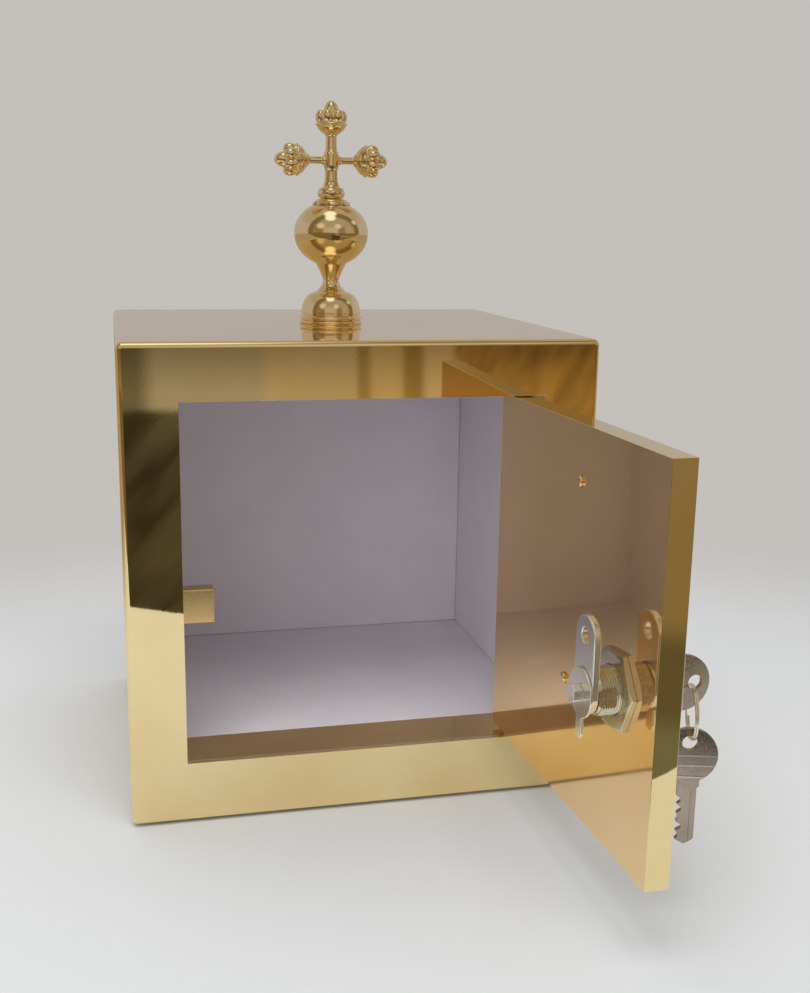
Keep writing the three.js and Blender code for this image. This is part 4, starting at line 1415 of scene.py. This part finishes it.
@dataclass
class Studio:
    """Pale table, soft light and the camera."""

    backdrop: Colour = (0.55, 0.53, 0.505)
    table: Colour = (0.745, 0.765, 0.765)
    # The dim brown glow that mirrors see on the far table: a painted reflection.
    painted_far_reflection: Colour = (0.38, 0.31, 0.21)
    table_front: float = -0.398
    table_back: float = -0.55
    table_slant: float = 0.27
    table_bow: float = 1.95
    table_reach: float = 4.0
    fade: Point = (0.44, 0.80)
    fade_centre: Triple = (0, -0.3, 0)
    fill: Colour = (0.58, 0.585, 0.60)
    lamp_aim: Triple = (0, 0, 0.1)
    focal: float = 1203.5
    frame_height: float = 993.0
    eye: Triple = (-0.11468, -0.64683, 0.28647)
    yaw: float = -13.69
    pitch: float = -12.76
    roll: float = 0.94

    def build(self) -> None:
        """Set up the table, the surroundings, the lamps and the camera."""
        self.floors()
        self.world()
        self.lamps()
        self.camera()
        bpy.context.scene.view_settings.view_transform = "Standard"

    def floors(self) -> None:
        """Lay the table with its curved front edge, and the floor that mirrors don't show."""
        material = self.table_material()
        for name, far in (("table", self.table_reach), ("apron", -self.table_reach)):
            bpy.ops.object.select_all(action="DESELECT")
            bpy.ops.mesh.primitive_grid_add(x_subdivisions=400, y_subdivisions=2, size=1)
            floor = bpy.context.object
            floor.name = name
            for vertex in floor.data.vertices:
                x = vertex.co.x * 2 * self.table_reach
                edge = self.table_front + self.table_slant * x - self.table_bow * x * x
                edge = max(edge, self.table_back)
                away = 0.5 + math.copysign(vertex.co.y, vertex.co.y * far)
                vertex.co = (x, edge + away * (far - edge), 0)
            settle(floor)
            floor.data.materials.append(material)
        bpy.data.objects["apron"].visible_glossy = False

    def table_material(self) -> bpy.types.Material:
        """Make the pale table, which fades into the backdrop away from the object, where mirrors
        see a dim brown glow instead: a painted reflection.

        Returns:
            The new material.
        """
        material, graph = blank("pale_table")
        tone = graph.spread(graph.noise((3, 3, 3), 3), 0, 1)
        low = tuple(0.985 * value for value in self.table)
        shader = graph.add(
            "BsdfPrincipled", Base_Color=graph.blend(tone, low, self.table), Roughness=0.45,
            Specular_IOR_Level=0.3,
        )
        path = graph.add("LightPath")
        # Far off, glossy rays see a brown glow: a painted reflection of the room's floor.
        painted_far_reflection = graph.blend(path.outputs["Is Glossy Ray"], self.backdrop, self.painted_far_reflection)
        far = graph.add("Emission", Color=painted_far_reflection, Strength=1.0)
        where = graph.add("TexCoord")
        away = graph.add(
            "VectorMath", {"operation": "DISTANCE"}, in_0=where.outputs["Object"],
            in_1=self.fade_centre,
        )
        fade = graph.rise(away.outputs["Value"], *self.fade)
        seen = graph.maths("ADD", path.outputs["Is Camera Ray"], path.outputs["Is Glossy Ray"])
        factor = graph.maths("MULTIPLY", fade, seen)
        mix = graph.add("MixShader", in_0=factor, in_1=shader.outputs[0], in_2=far.outputs[0])
        graph.add("OutputMaterial", Surface=mix.outputs[0])
        return material

    def world(self) -> None:
        """Make the surroundings: an even fill, a pale backdrop, and a dim room for mirrors."""
        world = bpy.data.worlds.new("surroundings")
        bpy.context.scene.world = world
        world.use_nodes = True
        graph = Graph(world.node_tree)
        path = graph.add("LightPath")
        shown = graph.blend(path.outputs["Is Glossy Ray"], self.fill, self.room(graph))
        shown = graph.blend(path.outputs["Is Camera Ray"], shown, self.backdrop)
        background = graph.add("Background", Color=shown, Strength=1.0)
        graph.add("OutputWorld", Surface=background.outputs[0])

    def room(self, graph: Graph) -> bpy.types.NodeSocket:
        """Make what the polished metal shows: cloths and shelves before the box, a wall behind it.

        Args:
            graph: The nodes of the surroundings.

        Returns:
            The colour in each direction.
        """
        where = graph.add("TexCoord").outputs["Generated"]
        parts = graph.add("SeparateXYZ", Vector=where)
        x, y, z = (parts.outputs[name] for name in "XYZ")

        def zones(value: bpy.types.NodeSocket, shown: object, *steps: tuple) -> object:
            """Change to each step's colour between its start and its end."""
            for start, end, colour in steps:
                shown = graph.blend(graph.rise(value, start, end), shown, colour)
            return shown

        def bands(wide: float, long: float, lean: float) -> bpy.types.NodeSocket:
            """Uneven leaning bands, from none to all."""
            cloth = graph.add(
                "Mapping", {"vector_type": "TEXTURE"}, Vector=where, Scale=(wide, 1, long),
                Rotation=(0, lean, 0),
            )
            noise = graph.add("TexNoise", Vector=cloth.outputs[0], Scale=1.0, Detail=2.0)
            return graph.spread(noise.outputs[0], 0, 1)

        side = zones(
            z, (0.245, 0.187, 0.095), (-0.305, -0.335, (0.115, 0.095, 0.048)),
            (-0.375, -0.40, (0.16, 0.155, 0.11)),
        )
        folds = graph.blend(bands(0.022, 0.10, 0.75), (0.032, 0.027, 0.015), (0.088, 0.079, 0.053))
        low = zones(x, folds, (-0.06, -0.20, (0.17, 0.12, 0.055)), (0.25, 0.40, side))

        amber = graph.blend(bands(0.016, 0.07, 0.45), (0.11, 0.066, 0.02), (0.27, 0.155, 0.05))
        mid = zones(
            x, (0.21, 0.145, 0.065), (-0.20, -0.06, (0.10, 0.085, 0.06)),
            (0.015, 0.035, (0.235, 0.205, 0.165)), (0.112, 0.126, (0.285, 0.235, 0.155)),
            (0.192, 0.198, (0.19, 0.135, 0.06)), (0.201, 0.210, (0.31, 0.235, 0.135)),
            (0.228, 0.236, (0.18, 0.125, 0.045)), (0.244, 0.252, (0.33, 0.25, 0.155)),
            (0.268, 0.276, amber),
        )
        shade = graph.add(
            "MapRange", Value=z, From_Min=-0.138, From_Max=-0.10, To_Min=1.5, To_Max=0.78
        ).outputs[0]
        mid = graph.add("VectorMath", {"operation": "SCALE"}, in_0=mid, Scale=shade).outputs[0]

        aside = graph.maths("ABSOLUTE", graph.maths("ADD", x, 0.17))
        high = zones(
            aside, (0.52, 0.43, 0.32), (0.28, 0.48, (0.26, 0.20, 0.12)),
            (0.66, 0.80, (0.42, 0.34, 0.24)),
        )

        tilt = graph.add(
            "MapRange", Value=x, From_Min=-0.4, From_Max=0.4, To_Min=-0.012, To_Max=0.02
        ).outputs[0]
        room = zones(graph.maths("ADD", z, tilt), low, (-0.150, -0.142, mid), (-0.05, 0.03, high))
        room = zones(z, room, (0.30, 0.50, (0.38, 0.34, 0.27)))
        behind = zones(z, (0.465, 0.435, 0.425), (0.35, 0.65, (0.42, 0.37, 0.30)))
        shown = zones(y, behind, (-0.02, -0.12, (0.20, 0.145, 0.07)), (-0.30, -0.50, room))
        # Painted highlights: bright round patches that only mirrors see, standing in for the lamps,
        # which mirrors don't show.
        light, pale = (1.10, 1.12, 1.12), (0.66, 0.60, 0.54)
        for centre, reach, colour in (
            ((-0.05, -0.10, 0.994), 0.22, light), ((-0.10, -0.40, 0.911), 0.22, light),
            ((-0.62, -0.62, 0.48), 0.20, pale), ((0.20, -0.86, 0.47), 0.17, pale),
            ((0.82, -0.15, 0.55), 0.13, pale),
        ):
            facing = graph.add("VectorMath", {"operation": "DOT_PRODUCT"}, in_0=where, in_1=centre)
            edge, core = math.cos(reach * 1.3), math.cos(reach * 0.6)
            shown = zones(facing.outputs["Value"], shown, (edge, core, colour))
        return shown

    def lamps(self) -> None:
        """Hang soft panels over the front and the back, and a low one before the box."""
        for name, place, size, power in (
            ("front_panel", (-0.12, -0.62, 1.35), (1.0, 0.7), 8.9),
            ("rear_panel", (-0.15, 0.30, 1.5), (0.9, 0.6), 2.5),
            ("low_panel", (-0.80, -1.55, 0.75), (1.2, 0.9), 3.7),
        ):
            lamp = bpy.data.lights.new(name, "AREA")
            lamp.shape = "RECTANGLE"
            lamp.size, lamp.size_y = size
            lamp.energy = power
            holder = bpy.data.objects.new(name, lamp)
            holder.location = place
            aim = Vector(self.lamp_aim) - Vector(place)
            holder.rotation_euler = aim.to_track_quat("-Z", "Y").to_euler()
            holder.visible_camera = False
            holder.visible_glossy = False
            bpy.context.scene.collection.objects.link(holder)

    def camera(self) -> None:
        """Place the camera at the photograph's viewing angle."""
        yaw, pitch, roll = (math.radians(a) for a in (self.yaw, self.pitch, self.roll))
        ahead = Vector((
            -math.sin(yaw) * math.cos(pitch), math.cos(yaw) * math.cos(pitch), math.sin(pitch),
        ))
        right = Vector((math.cos(yaw), math.sin(yaw), 0))
        upward = right.cross(ahead)
        across = math.cos(roll) * right + math.sin(roll) * upward
        up = -math.sin(roll) * right + math.cos(roll) * upward
        lens = bpy.data.cameras.new("camera")
        lens.sensor_width = 36.0
        lens.lens = self.focal * lens.sensor_width / self.frame_height
        lens.clip_start = 0.01
        holder = bpy.data.objects.new("camera", lens)
        turn = Matrix((across, up, -ahead)).transposed().to_4x4()
        holder.matrix_world = Matrix.Translation(self.eye) @ turn
        bpy.context.scene.collection.objects.link(holder)
        bpy.context.scene.camera = holder


def write_sizes() -> None:
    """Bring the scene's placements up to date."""
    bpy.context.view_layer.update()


def main() -> None:
    """Build every sub-assembly in order, then the studio."""
    logging.basicConfig(level=logging.INFO, format="%(name)s %(message)s")
    for part in (Box(), Lining(), Back(), Strike(), Finial(), Door(), CamLock(), Keys(), Studio()):
        LOG.info("building %s", type(part).__name__)
        part.build()
    write_sizes()


if __name__ == "__main__":
    main()
